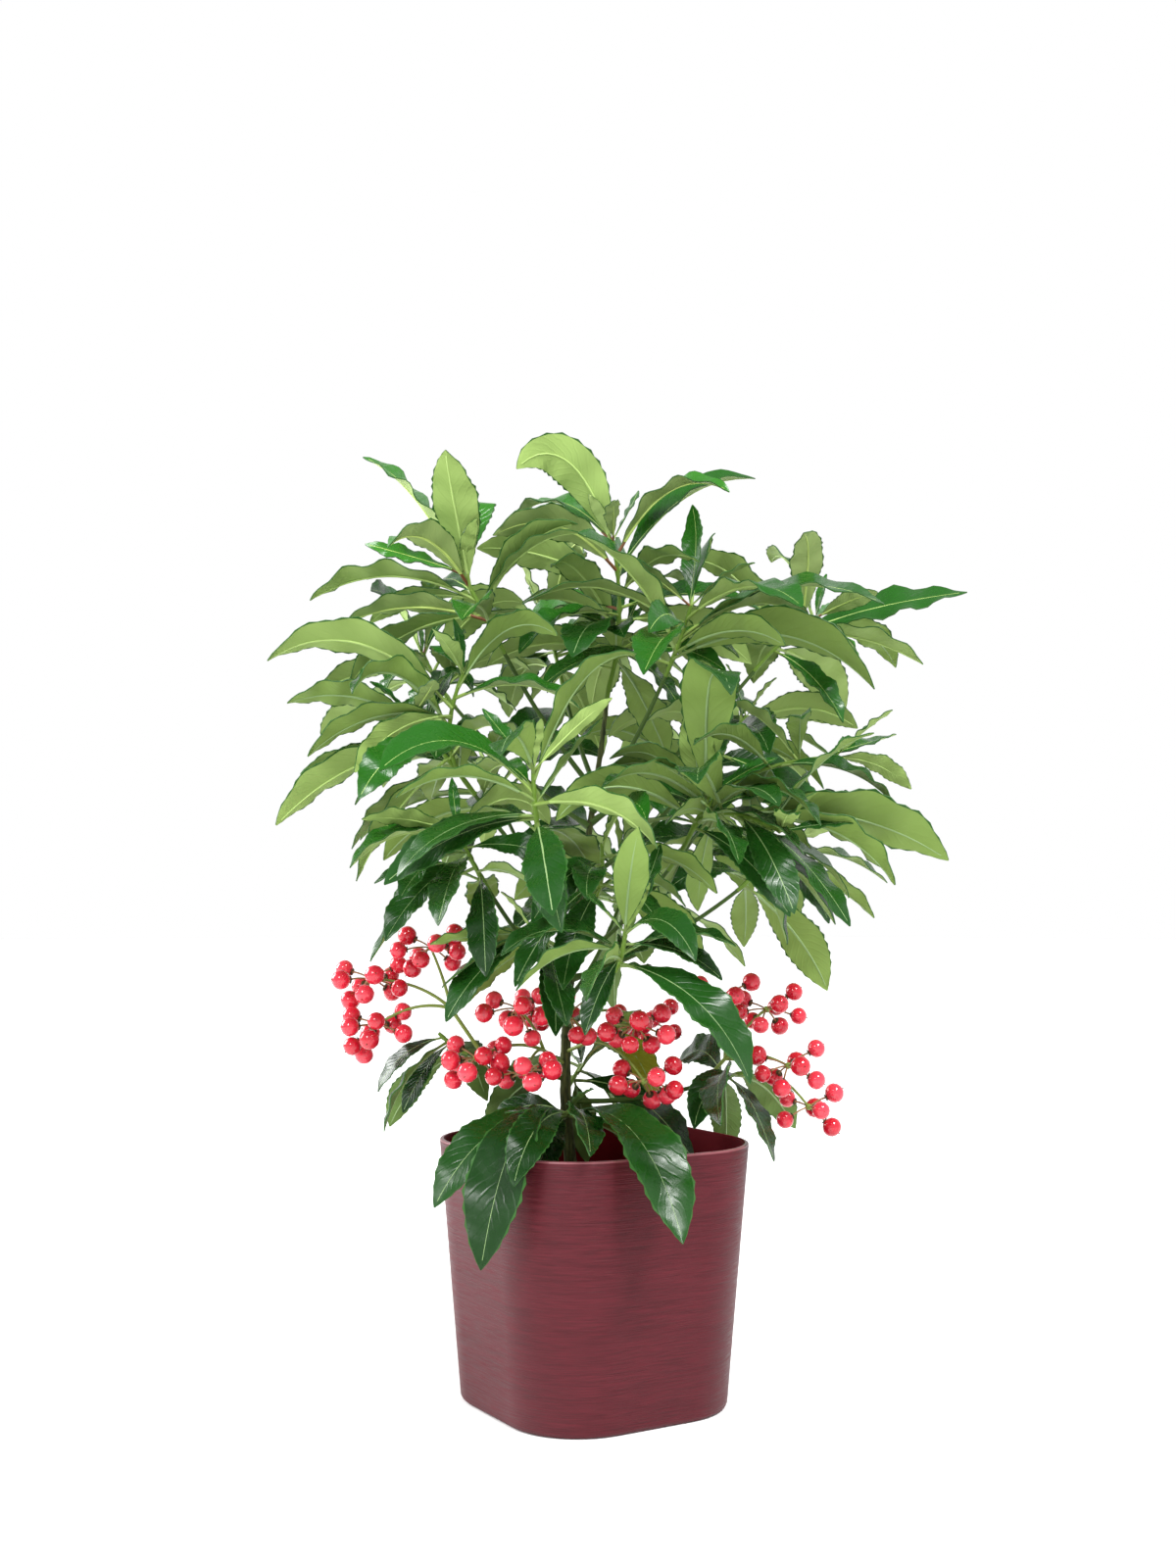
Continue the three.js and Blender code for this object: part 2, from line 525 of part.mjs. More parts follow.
// What is asked of each leaf of a shoot: the lead leaves first, then those set by the rule. Age
// goes from 1 for the lowest leaf to 0 for the top one.
function askedLeaves(shoot) {
  const lead = (shoot.lead ?? []).map(([bearing, rise, length, droop], i) => ({
    bearing,
    rise,
    length,
    droop,
    age: 1 - (i + 0.5) / shoot.lead.length,
    freedom: FREEDOM.lead,
  }));
  const ruled = Array.from({ length: shoot.leaves }, (_, i) => {
    const age = 1 - i / Math.max(1, shoot.leaves - 1);
    return {
      bearing: shoot.turn + i * GOLDEN_TURN,
      rise: mix(shoot.rise[1], shoot.rise[0], age),
      length: shoot.size * mix(TOP_LEAF.length, 1, age),
      droop: shoot.droop * mix(TOP_LEAF.droop, LOW_LEAF_DROOP, age),
      age,
      freedom: FREEDOM.ruled,
    };
  });
  return [...lead, ...ruled];
}

// The stems of a mass or bunch: one to its hub, if it has one, and one to each tip
function growStems(piece) {
  const radii = piece.umbels ? STALK_RADII : SHOOT_RADII;
  const seat = seatOn(piece);
  const stems = [];
  let { start, direction } = seat;
  if (piece.hub) {
    const hub = vector(piece.hub);
    direction ??= hub.clone().sub(start).normalize();
    stems.push({ curve: sprung(start, direction, hub), radiusAt: () => radii.hub });
    direction = stems[0].curve.getTangent(1);
    start = hub;
  }
  const ends = (piece.umbels ?? piece.shoots).map((end) => {
    const tip = vector(end.tip);
    const straight = tip.clone().sub(start).normalize();
    const lifted = straight.clone().addScaledVector(up, STALK_LIFT).normalize();
    const heading = piece.umbels ? lifted : direction ?? straight;
    const curve = sprung(start, heading, tip);
    stems.push({ curve, radiusAt: (share) => mix(radii.foot, radii.tip, share) });
    return { ...end, curve };
  });
  for (const stem of stems) claimLimb(stem, piece.name);
  return { piece, seat, stems, ends };
}

// The leaves that find free space on the shoots of a mass
function growLeaves({ piece, ends }) {
  const random = seeded(piece.seed);
  const leaves = [];
  for (const shoot of ends) {
    const whorl = Math.min(WHORL.most, (shoot.whorl ?? LEAF.whorl) / shoot.curve.getLength());
    for (const asked of askedLeaves(shoot)) {
      const share = WHORL.top - whorl * asked.age;
      const root = shoot.curve.getPoint(share);
      const axis = shoot.curve.getTangent(share);
      for (let attempt = 0; attempt < TRIES; attempt++) {
        const leaf = drawLeaf(asked, root, axis, asked.freedom + FREEDOM.more * attempt, random);
        const spine = leafSpine(leaf);
        const points = bladePoints(leaf, spine, LEAF.petiole);
        const blade = bladePoints(leaf, spine, WHORL.roots).map(cellAt);
        if (!isFree(points, piece.name)) continue;
        if (attempt < FUSSY_TRIES && blade.some((cell) => bladeCells[cell])) continue;
        claim(points, piece.name);
        for (const cell of blade) bladeCells[cell] = 1;
        leaves.push({ leaf, spine });
        break;
      }
    }
  }
  return leaves;
}

// Fruit
// Points evenly all over a ball, by the golden turn
function ballPoints(centre, radius) {
  const count = 48;
  return Array.from({ length: count }, (_, i) => {
    const level = 1 - (2 * i + 1) / count;
    const out = radius * Math.sqrt(1 - level * level);
    const angle = radians(i * GOLDEN_TURN);
    return new THREE.Vector3(Math.cos(angle) * out, Math.sin(angle) * out, level * radius).add(centre);
  });
}

// The berries that find free space round the umbels of a bunch
function growBerries({ piece, ends }) {
  const random = seeded(piece.seed);
  const berries = [];
  for (const umbel of ends) {
    const knot = vector(umbel.tip);
    for (let i = 0; i < umbel.berries; i++) {
      for (let attempt = 0; attempt < TRIES; attempt++) {
        const freedom = UMBEL_FREEDOM.first + UMBEL_FREEDOM.more * attempt;
        const lower = (UMBEL.span * (i + 0.5)) / umbel.berries;
        const level = UMBEL.high - lower + freedom * (random() - 0.5);
        const bearing = radians(i * GOLDEN_TURN + UMBEL_FREEDOM.turn * freedom * random());
        const length = PEDICEL * mix(...UMBEL.pedicel, random());
        const radius = BERRY_RADIUS * mix(...UMBEL.berry, random());
        const flat = Math.sqrt(Math.max(0, 1 - level * level));
        const way = new THREE.Vector3(Math.cos(bearing) * flat, Math.sin(bearing) * flat, level);
        const centre = knot.clone().addScaledVector(way, length);
        const points = ballPoints(centre, radius);
        const tooNear = (other) => other.centre.distanceTo(centre) < other.radius + radius + UMBEL.apart;
        if (!isFree(points, piece.name) || berries.some(tooNear)) continue;
        claim(points, piece.name);
        const pedicel = new THREE.LineCurve3(knot, centre);
        claimLimb({ curve: pedicel, radiusAt: () => STALK_RADII.pedicel }, piece.name);
        berries.push({ centre, radius, knot });
        break;
      }
    }
  }
  return berries;
}

// A berry on its pedicel: a sphere of four meridians, drawn out to the umbel's knot
function berrySolid({ centre, radius, knot }) {
  const way = centre.clone().sub(knot);
  const length = way.length();
  const wide = radius * BERRY_RINGS.swell;
  const sections = [
    { at: 0, out: 0, turn: 0 },
    { at: KNOT_REACH, out: STALK_RADII.pedicel, turn: 0 },
    { at: length + radius * BERRY_RINGS.neck, out: STALK_RADII.pedicel, turn: 0 },
    { at: length + radius * BERRY_RINGS.low, out: wide, turn: 0 },
    { at: length + radius * BERRY_RINGS.high, out: wide, turn: Math.PI / 4 },
    { at: length + radius * BERRY_RINGS.end, out: 0, turn: 0 },
  ];
  const last = sections.length - 1;
  const blank = new THREE.SphereGeometry(1, 4, last);
  const lean = new THREE.Quaternion().setFromUnitVectors(new THREE.Vector3(0, 1, 0), way.normalize());
  const place = blank.getAttribute("position");
  const point = new THREE.Vector3();
  for (let i = 0; i < place.count; i++) {
    point.fromBufferAttribute(place, i);
    const ring = Math.round((1 - Math.acos(THREE.MathUtils.clamp(point.y, -1, 1)) / Math.PI) * last);
    const { at, out, turn } = sections[ring];
    const angle = Math.atan2(point.z, point.x) + turn;
    point.set(Math.cos(angle) * out, at, Math.sin(angle) * out).applyQuaternion(lean).add(knot);
    place.setXYZ(i, point.x, point.y, point.z);
  }
  return solidOf(blank);
}

function knotSolid({ tip }) {
  const knot = new THREE.IcosahedronGeometry(STALK_RADII.knot, 0);
  knot.translate(...tip);
  return solidOf(knot);
}

// Assembly
const material = (name) => new THREE.MeshStandardMaterial(COLOURS[name]);
const potted = new THREE.Group();
const plant = new THREE.Group();
plant.rotation.z = radians(PLANT_TURN);
potted.add(plant);

function addNode(group, name, solid, finish) {
  const mesh = new THREE.Mesh(geometryOf(solid), finish);
  mesh.name = name;
  group.add(mesh);
}

addNode(potted, "pot", potSolid(), material("pot"));
addNode(potted, "soil", soilSolid(), material("soil"));

BOUGHS.forEach(growBough);
const bark = material("bark");
for (const [name, limb] of Object.entries(limbs)) {
  claimLimb(limb, name);
  const solid = limbSolid(limb.curve, limb.radiusAt, limb.facets);
  const isStem = name === "stem";
  const cut = isStem ? solid.trimByPlane(up.toArray(), SOIL_TOP + GAP) : solid.subtract(clearOf("stem"));
  addNode(plant, name, cut, bark);
}

// Every stem stands before the first leaf grows, so that no leaf takes another piece's way
const leafFinish = material("leaf");
const fruitFinish = material("fruit");
for (const grown of PIECES.map(growStems)) {
  const { piece, seat, stems } = grown;
  const parts = stems.map(({ curve, radiusAt }) => limbSolid(curve, radiusAt, FACETS.twig));
  if (piece.umbels) parts.push(...growBerries(grown).map(berrySolid), ...piece.umbels.map(knotSolid));
  else parts.push(...growLeaves(grown).map(leafSolid));
  const whole = parts.reduce((a, b) => a.add(b));
  const clear = seat.cut ? whole.subtract(seat.cut) : whole;
  addNode(plant, piece.name, clear.simplify(SIMPLER), piece.umbels ? fruitFinish : leafFinish);
}

export default potted;
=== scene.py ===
import math

import bmesh
import bpy
import numpy as np
from mathutils import Matrix, Vector, noise


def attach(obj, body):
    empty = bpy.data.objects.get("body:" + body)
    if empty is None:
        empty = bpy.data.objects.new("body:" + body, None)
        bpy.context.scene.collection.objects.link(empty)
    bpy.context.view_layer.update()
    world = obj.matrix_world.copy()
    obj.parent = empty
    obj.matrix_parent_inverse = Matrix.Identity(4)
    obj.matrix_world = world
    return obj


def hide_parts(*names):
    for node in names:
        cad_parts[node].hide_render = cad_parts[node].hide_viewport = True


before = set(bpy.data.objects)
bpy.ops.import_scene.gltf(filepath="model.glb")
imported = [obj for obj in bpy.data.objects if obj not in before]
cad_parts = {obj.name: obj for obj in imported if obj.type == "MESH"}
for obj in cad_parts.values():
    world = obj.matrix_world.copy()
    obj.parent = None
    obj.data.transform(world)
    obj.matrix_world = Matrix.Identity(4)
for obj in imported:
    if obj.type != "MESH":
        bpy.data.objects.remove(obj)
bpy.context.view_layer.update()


# Studio. A smooth white card floor in a white room, with a far soft key lamp high on the right, a
# panel lamp high on the left behind, and a small lamp at the front left. The camera stands in front
# of the pot's left corner, at half the plant's height, and looks a little up.
MM = 0.001
PLANT_TURN = math.radians(-31)  # plant, camera and lamps are turned against the pot's sides
CAMERA = {"place": (-2.4, -887.1, 248.8), "pitch": 3.53, "lens": 40.6, "sensor": 36}  # mm and degrees
FLOOR_RADIUS = 9.0  # metres
# The walls are brighter than the ceiling, so that the lamps show in the gloss of the leaves
ROOM = {"walls": 1.0, "ceiling": 0.35, "walls_to": 0.5, "ceiling_from": 0.85}
KEY_LAMP = {"place": (600, -800, 1500), "width": 20, "power": 3.7}  # width in degrees
PANEL_LAMP = {"place": (-1200, 450, 700), "size": 0.8, "power": 24}  # size in metres
SIDE_LAMP = {"place": (-500, -1000, 800), "size": 0.3, "power": 6}
LAMPS_AIM = (0, 0, 200)


def turned(points, angle):
    """Points turned about the upright axis"""
    x, y, z = np.moveaxis(np.asarray(points, float), -1, 0)
    c, s = math.cos(angle), math.sin(angle)
    return np.stack([x * c - y * s, x * s + y * c, z], axis=-1)


def placed(points):
    """Points of the plant in millimetres as places in the pot's frame in metres"""
    return turned(points, PLANT_TURN) * MM


def linear(colour):
    """A colour given as sRGB hex, as the linear values that Blender takes"""
    parts = [int(colour[i:i + 2], 16) / 255 for i in (1, 3, 5)]
    return (*[p / 12.92 if p <= 0.04045 else ((p + 0.055) / 1.055) ** 2.4 for p in parts], 1)


def add_node(material, kind, inputs, feeds=None, **settings):
    """A new node in a material, with its settings, its inputs set or linked, and its first output
    linked to the socket that it feeds"""
    node = material.node_tree.nodes.new(kind)
    for name, value in settings.items():
        setattr(node, name, value)
    for name, value in inputs.items():
        if isinstance(value, bpy.types.NodeSocket):
            material.node_tree.links.new(value, node.inputs[name])
        else:
            node.inputs[name].default_value = value
    if feeds is not None:
        material.node_tree.links.new(node.outputs[0], feeds)
    return node


def new_material(name, colour, roughness, ior, specular=0.5):
    """A material with its surface shader, and its object coordinates"""
    material = bpy.data.materials.new(name)
    material.use_nodes = True
    shader = material.node_tree.nodes["Principled BSDF"]
    shader.inputs["Base Color"].default_value = linear(colour)
    shader.inputs["Roughness"].default_value = roughness
    shader.inputs["IOR"].default_value = ior
    shader.inputs["Specular IOR Level"].default_value = specular
    return material, shader, add_node(material, "ShaderNodeTexCoord", {}).outputs["Object"]


def add_grain(material, shader, place, size, depth, detail=2):
    """A grain of a size and a depth in millimetres all over a surface, and its height"""
    grain = add_node(material, "ShaderNodeTexNoise", {
        "Vector": place, "Scale": 1 / (size * MM), "Detail": detail})
    add_node(material, "ShaderNodeBump", {"Height": grain.outputs["Fac"], "Distance": depth * MM},
             shader.inputs["Normal"])
    return grain.outputs["Fac"]


def mesh_of(bm, name):
    """The bmesh as a mesh"""
    mesh = bpy.data.meshes.new(name)
    bm.to_mesh(mesh)
    bm.free()
    return mesh


def add_object(data):
    """An object in the scene with the name of its mesh, lamp or camera"""
    item = bpy.data.objects.new(data.name, data)
    scene.collection.objects.link(item)
    return item


scene = bpy.context.scene
scene.view_settings.view_transform = "Standard"
room = bpy.data.worlds.new("white_room")
room.use_nodes = True
walls = room.node_tree.nodes["Background"]
walls.inputs["Color"].default_value = linear("#ffffff")
way = add_node(room, "ShaderNodeTexCoord", {}).outputs["Generated"]
height = add_node(room, "ShaderNodeSeparateXYZ", {"Vector": way}).outputs["Z"]
add_node(room, "ShaderNodeMapRange", {
    "Value": height, "From Min": ROOM["walls_to"], "From Max": ROOM["ceiling_from"],
    "To Min": ROOM["walls"], "To Max": ROOM["ceiling"]}, walls.inputs["Strength"])
scene.world = room

# White card: matt, with a paper's tooth, drawn at 2 mm so that it shows
card, shader, place = new_material("matt_white_card", "#f4f4f4", 0.9, 1.5)
add_grain(card, shader, place, 2, 0.02)
bm = bmesh.new()
bmesh.ops.create_circle(bm, cap_ends=True, segments=64, radius=FLOOR_RADIUS)
floor = add_object(mesh_of(bm, "card_floor"))
floor.data.materials.append(card)

view = bpy.data.cameras.new("camera")
view.lens = CAMERA["lens"]
view.sensor_width = CAMERA["sensor"]
camera = add_object(view)
camera.location = placed(CAMERA["place"])
camera.rotation_euler = (math.radians(90 + CAMERA["pitch"]), 0, PLANT_TURN)
scene.camera = camera

key = bpy.data.lights.new("key_lamp", "SUN")
key.angle = math.radians(KEY_LAMP["width"])
key.energy = KEY_LAMP["power"]
lamps = [(key, KEY_LAMP)]
for name, lamp in (("panel_lamp", PANEL_LAMP), ("side_lamp", SIDE_LAMP)):
    light = bpy.data.lights.new(name, "AREA")
    light.size = lamp["size"]
    light.energy = lamp["power"]
    lamps.append((light, lamp))
for light, lamp in lamps:
    holder = add_object(light)
    holder.location = placed(lamp["place"])
    aim = Vector(placed(LAMPS_AIM)) - holder.location
    holder.rotation_euler = aim.to_track_quat("-Z", "Y").to_euler()


# Cover pot. An injection-moulded polypropylene pot, square with well-rounded corners and a slight
# taper. Its outside is struck with fine uneven horizontal lines, its lip is rounded and its inside
# is smooth.
POT = {"side": 135, "corner": 43, "height": 127, "taper": 10, "wall": 2.6, "floor": 3, "foot": 2.5,
       "fillet": 2}
POT_CORNER_STEPS = 18
FOOT_ROUNDING = [(0, 1), (0.2, 0.5), (0.52, 0.15), (1, 0)]  # height and inset, as shares of the foot
POT_LIP = 0.9  # rounding of the lip's two edges
LIP_SHOULDER = POT_LIP * 0.3  # how far in and down the middle of that rounding lies
STRUCK, PLAIN, LIP_HIGHLIGHT = range(3)  # finishes, in the order of the pot's materials
STRUCK_LINE = {"length": 14, "thickness": 0.6, "depth": 0.32}  # millimetres
STRUCK_BAND = {"length": 60, "thickness": 4, "share": 0.3}
SHARP = math.radians(40)  # an edge that bends more than this isn't shaded smooth


def rounded_square(bm):
    """A face of side 1 with round corners"""
    bmesh.ops.create_grid(bm, x_segments=1, y_segments=1, size=0.5)
    bmesh.ops.bevel(
        bm, geom=bm.verts[:], offset=POT["corner"] / POT["side"], offset_type="OFFSET",
        segments=POT_CORNER_STEPS, profile=0.5, affect="VERTICES", material=-1)
    bm.faces.ensure_lookup_table()
    return bm.faces[0]


def raise_levels(bm, face, levels):
    """Draws a face of side 1 through levels, each with its height, side and finish"""
    now = 1
    for step, (height, side, finish) in enumerate(levels):
        if step > 0:
            made = bmesh.ops.extrude_face_region(bm, geom=[face])["geom"]
            if step > 1:
                bm.faces.remove(face)  # only the first one stays, as the underside
            face = next(part for part in made if isinstance(part, bmesh.types.BMFace))
        for vert in face.verts:
            vert.co = (vert.co.x * side * MM / now, vert.co.y * side * MM / now, height * MM)
        now = side * MM
        for wall in [wall for edge in face.edges for wall in edge.link_faces]:
            wall.material_index = finish


def pot_level(height, inset, finish=STRUCK):
    """A level of the pot's outside, moved in by an inset"""
    side = POT["side"] - 2 * POT["taper"] * (1 - height / POT["height"])
    return height, side - 2 * inset, finish


def shown(mesh, materials, nodes):
    """The mesh as a piece at the origin that rides on the pot and stands for nodes of the frame"""
    for material in materials:
        mesh.materials.append(material)
    piece = add_object(mesh)
    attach(piece, "root")
    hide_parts(*nodes)
    return piece


def smooth_mesh(bm, name, sharp=None):
    """The bmesh as a mesh with faces outwards, smooth but for edges that bend more than an angle"""
    bmesh.ops.recalc_face_normals(bm, faces=bm.faces[:])
    for face in bm.faces:
        face.smooth = True
    if sharp:
        for edge in bm.edges:
            edge.smooth = edge.calc_face_angle(0) < sharp
    return mesh_of(bm, name)


def add_streaks(material, place, across, upright, detail, distortion=0):
    """The height of a noise drawn out to one size in millimetres sideways and another upright"""
    drawn = add_node(material, "ShaderNodeMapping", {"Vector": place, "Scale": (
        1 / (across * MM), 1 / (across * MM), 1 / (upright * MM))})
    return add_node(material, "ShaderNodeTexNoise", {
        "Vector": drawn.outputs["Vector"], "Scale": 1, "Detail": detail,
        "Distortion": distortion}).outputs["Fac"]


def set_tones(ramp, places, tones):
    """Gives a ramp its two tones, each at its place"""
    for stop, position, colour in zip(ramp.color_ramp.elements, places, tones):
        stop.position = position
        stop.color = linear(colour)


# Satin polypropylene struck in the mould: light and dark lines of uneven length alternate, and
# broader bands of the same run through them
struck, shader, place = new_material("struck_polypropylene", "#541720", 0.45, 1.49, specular=0.22)
lines, bands = (
    add_streaks(struck, place, line["length"], line["thickness"], 3, 0.3)
    for line in (STRUCK_LINE, STRUCK_BAND))
mixed = add_node(struck, "ShaderNodeMix", {"Factor": STRUCK_BAND["share"], "A": lines, "B": bands})
tone = add_node(struck, "ShaderNodeValToRGB", {"Fac": mixed.outputs["Result"]}, shader.inputs["Base Color"])
set_tones(tone, (0.36, 0.64), ("#410c15", "#541620"))
add_node(struck, "ShaderNodeMapRange", {
    "Value": lines, "From Min": 0.3, "From Max": 0.7, "To Min": 0.36, "To Max": 0.58},
    shader.inputs["Roughness"])
add_node(struck, "ShaderNodeBump", {"Height": lines, "Distance": STRUCK_LINE["depth"] * MM},
         shader.inputs["Normal"])

# The same plastic off the core of the mould: plain and dull, with a faint orange peel at 3 mm
plain, shader, place = new_material("plain_polypropylene", "#5c0a15", 0.6, 1.49, specular=0.03)
add_grain(plain, shader, place, 3, 0.05, detail=1)

# And on the lip, where the halves of the mould meet: smoother, so that it shines, and lighter in colour
# as a painted highlight, so that it shows as a pale line
lip_highlight, shader, place = new_material("lip_polypropylene_painted_highlight", "#7c444a", 0.35, 1.49)
add_grain(lip_highlight, shader, place, 1.5, 0.03)

lip = POT["height"]
bm = bmesh.new()
raise_levels(bm, rounded_square(bm), [
    *[pot_level(POT["foot"] * height, POT["foot"] * inset) for height, inset in FOOT_ROUNDING],
    pot_level(lip / 2, 0),
    pot_level(lip - POT_LIP, 0),
    # The lip's outer rounding and top take the lighter finish, a painted highlight
    pot_level(lip - LIP_SHOULDER, LIP_SHOULDER, LIP_HIGHLIGHT),
    pot_level(lip, POT_LIP, LIP_HIGHLIGHT),
    pot_level(lip, POT["wall"] - POT_LIP, LIP_HIGHLIGHT),
    pot_level(lip - LIP_SHOULDER, POT["wall"] - LIP_SHOULDER, PLAIN),
    pot_level(lip - POT_LIP, POT["wall"], PLAIN),
    pot_level(POT["floor"] + POT["fillet"], POT["wall"], PLAIN),
    pot_level(POT["floor"], POT["wall"] + POT["fillet"], PLAIN),
])
shown(smooth_mesh(bm, "cover_pot", SHARP), [struck, plain, lip_highlight], ["pot"])


# Potting mix. Moist peat with bark fines, pressed flat round the stem, with loose crumbs of both
# lying on it.
SOIL = {"top": 100, "gap": 0.3, "edge": 1, "fillet": 2, "rings": 30, "relief": 1.4, "lump": 7}
SOIL_FRACTAL = (0.7, 2.2, 4)  # how soon its octaves fade, how much finer each is, and their count
CRUMBS = {"count": 900, "smallest": 0.7, "largest": 2.4, "margin": 5, "flattest": 0.6, "rough": 0.12,
          "sits": 0.2, "bark_share": 0.35, "seed": 3}

# Moist peat: dark, without shine, and fibrous at about 1.5 mm
peat, shader, place = new_material("moist_peat", "#241a14", 0.95, 1.4)
fibres = add_grain(peat, shader, place, 1.5, 0.8, detail=5)
tone = add_node(peat, "ShaderNodeValToRGB", {"Fac": fibres}, shader.inputs["Base Color"])
set_tones(tone, (0.35, 0.7), ("#1b120d", "#3d2c20"))

# Composted bark fines: redder and a little lighter than the peat, broken into flakes of 0.8 mm
fines, shader, place = new_material("composted_bark", "#4a3123", 0.9, 1.4)
flakes = add_node(fines, "ShaderNodeTexVoronoi", {"Vector": place, "Scale": 1 / (0.8 * MM)})
add_node(fines, "ShaderNodeBump", {"Height": flakes.outputs["Distance"], "Distance": 0.3 * MM},
         shader.inputs["Normal"])

inset = POT["wall"] + SOIL["gap"]
_, soil_side, _ = pot_level(SOIL["top"], inset)
bm = bmesh.new()
raise_levels(bm, rounded_square(bm), [
    pot_level(POT["floor"] + SOIL["gap"], inset + SOIL["fillet"]),
    pot_level(SOIL["top"] - SOIL["edge"], inset),
    *[(SOIL["top"], soil_side * (1 - ring / SOIL["rings"]), 0) for ring in range(SOIL["rings"])],
])
for vert in bm.verts:
    if vert.co.z > (SOIL["top"] - SOIL["edge"] / 2) * MM:
        lump = noise.fractal(vert.co / (SOIL["lump"] * MM), *SOIL_FRACTAL)
        vert.co.z += lump * SOIL["relief"] * MM
shown(smooth_mesh(bm, "potting_mix", SHARP), [peat], ["soil"])


def mix(low, high, share):
    return low + (high - low) * share


def corners_of(mesh):
    places = np.zeros(len(mesh.vertices) * 3, np.float32)
    mesh.vertices.foreach_get("co", places)
    return places.reshape(-1, 3).astype(float)


def joined(name, groups):
    """One mesh of copies of blanks. A group is a blank, a shape for each copy, which says where its
    corners lie in millimetres, and a step in the finish for all copies or for each."""
    bm = bmesh.new()
    places, finishes = [], []
    for blank, shapes, steps in groups:
        own = np.zeros(len(blank.polygons), np.int32)
        blank.polygons.foreach_get("material_index", own)
        for shape, step in zip(shapes, np.broadcast_to(steps, len(shapes))):
            bm.from_mesh(blank)
            places.append(shape)
            finishes.append(own + step)
    mesh = mesh_of(bm, name)
    mesh.vertices.foreach_set("co", placed(np.concatenate(places)).ravel())
    mesh.polygons.foreach_set("material_index", np.concatenate(finishes))
    mesh.update()
    return mesh


def new_blank(name, create, **settings):
    """A shape that a bmesh operator creates, to be copied"""
    bm = bmesh.new()
    create(bm, **settings)
    return smooth_mesh(bm, name)


luck = np.random.default_rng(CRUMBS["seed"])
crumb = new_blank("crumb", bmesh.ops.create_icosphere, subdivisions=1, radius=1)
crumb_shapes = []
reach = soil_side / 2 - CRUMBS["margin"]
for _ in range(CRUMBS["count"]):
    size = mix(CRUMBS["smallest"], CRUMBS["largest"], luck.random() ** 3)  # most are small
    x, y = (2 * luck.random(2) - 1) * reach
    overlap = np.maximum(np.abs((x, y)) - reach + POT["corner"] - CRUMBS["margin"], 0)
    if np.hypot(*overlap) > POT["corner"] - CRUMBS["margin"]:
        continue
    turn = Vector(luck.normal(size=3)).to_track_quat("Z", "Y").to_matrix()
    lump = corners_of(crumb) * size * mix(CRUMBS["flattest"], 1, luck.random(3))
    lump = (lump + luck.normal(size=lump.shape) * size * CRUMBS["rough"]) @ np.array(turn)
    lump += (x, y, SOIL["top"] + size * CRUMBS["sits"])
    crumb_shapes.append(turned(lump, -PLANT_TURN))  # the crumbs lie square to the pot
kinds = (luck.random(len(crumb_shapes)) < CRUMBS["bark_share"]).astype(int)
shown(joined("soil_crumbs", [(crumb, crumb_shapes, kinds)]), [peat, fines], [])


# Stem and side boughs. The woody stem is olive brown and finely ridged, rings where old leaves fell
# run round it, and it flares where it enters the mix. The side boughs are young wood, still green,
# each with a collar where it leaves the stem.
STEM = [(-8, 0, SOIL["top"] - 3), (-24, 0, 180), (-2, 0, 262), (7, 0, 345)]
STEM_RADII = {"flare": 7.5, "foot": 5.2, "tip": 1.6, "flare_height": 14, "taper_power": 0.8}
BARK_SHARE = {"stem": 0.66, "bough": 0.78}  # thickness of the real wood, as a share of its solid's
STEM_FACETS = (24, 160)  # sides, and steps along it
STEM_SCARS = {"apart": 9, "height": 0.35, "width": 0.7}
STEM_RELIEF = {"depth": 0.22, "across": 2.2, "along": 9.0, "thinnest": 0.3}
BOUGH_RADII = {"foot": 1.8, "tip": 1.25}
BOUGH_SAG = 0.1  # as a share of the bough's length
BOUGH_COLLAR = {"out": 0.9, "from": 2.5, "length": 2.6}  # it starts just outside the stem
BOUGH_FACETS = (10, 24)
ROD_RIM = math.pi / 2 - 0.01  # a rod's ends meet its sides at a right angle, and their rims are sharp
ASKEW = (0.3, 1, 0.1)  # a way in which no limb sets out
LENGTH_STEPS = 200
HEADING_STEP = 1e-4
HALVINGS = 40
# Each bough: the height at which it leaves the stem, and where it ends
BOUGHS = {
    "bough_left_top": (300, (-44, -11, 368)),
    "bough_right_top": (290, (36, -17, 356)),
    "bough_left_side": (240, (-58, -21, 297)),
    "bough_left_back": (282, (-72, 36, 346)),
    "bough_front_middle": (228, (-24, -78, 272)),
    "bough_right_shoulder": (284, (84, 28, 364)),
    "bough_right_back": (254, (62, 40, 318)),
    "bough_right_tip": (214, (36, -44, 260)),
    "bough_left_low": (200, (-50, -36, 250)),
    "bough_front_low": (184, (10, -86, 214)),
    "bough_centre": (220, (2, -46, 248)),
    "bough_back_top": (302, (-16, 54, 360)),
    "bough_back_right": (244, (50, 88, 300)),
    "bough_back_left": (232, (-48, 82, 292)),
    "bough_back_low": (196, (14, 84, 240)),
    "bough_side_back": (206, (76, 44, 250)),
    "bough_fruit_left": (158, (-62, -8, 170)),
    "bough_fruit_right": (146, (62, 2, 156)),
}


def unit(vectors):
    vectors = np.asarray(vectors, float)
    return vectors / np.linalg.norm(vectors, axis=-1, keepdims=True)


def shares_of(steps):
    """Shares from 0 to 1 in even steps"""
    return np.arange(steps + 1) / steps


def curve_at(controls, shares):
    """Points at shares of a smooth curve drawn by its control points"""
    rows = np.asarray(controls, float)[:, None, :]
    shares = np.atleast_1d(shares)[:, None]
    while len(rows) > 1:
        rows = rows[:-1] * (1 - shares) + rows[1:] * shares
    return rows[0]


def heading_at(controls, share):
    before, after = curve_at(controls, [max(share - HEADING_STEP, 0), min(share + HEADING_STEP, 1)])
    return unit(after - before)


def curve_length(controls):
    places = curve_at(controls, shares_of(LENGTH_STEPS))
    return np.linalg.norm(np.diff(places, axis=0), axis=1).sum()


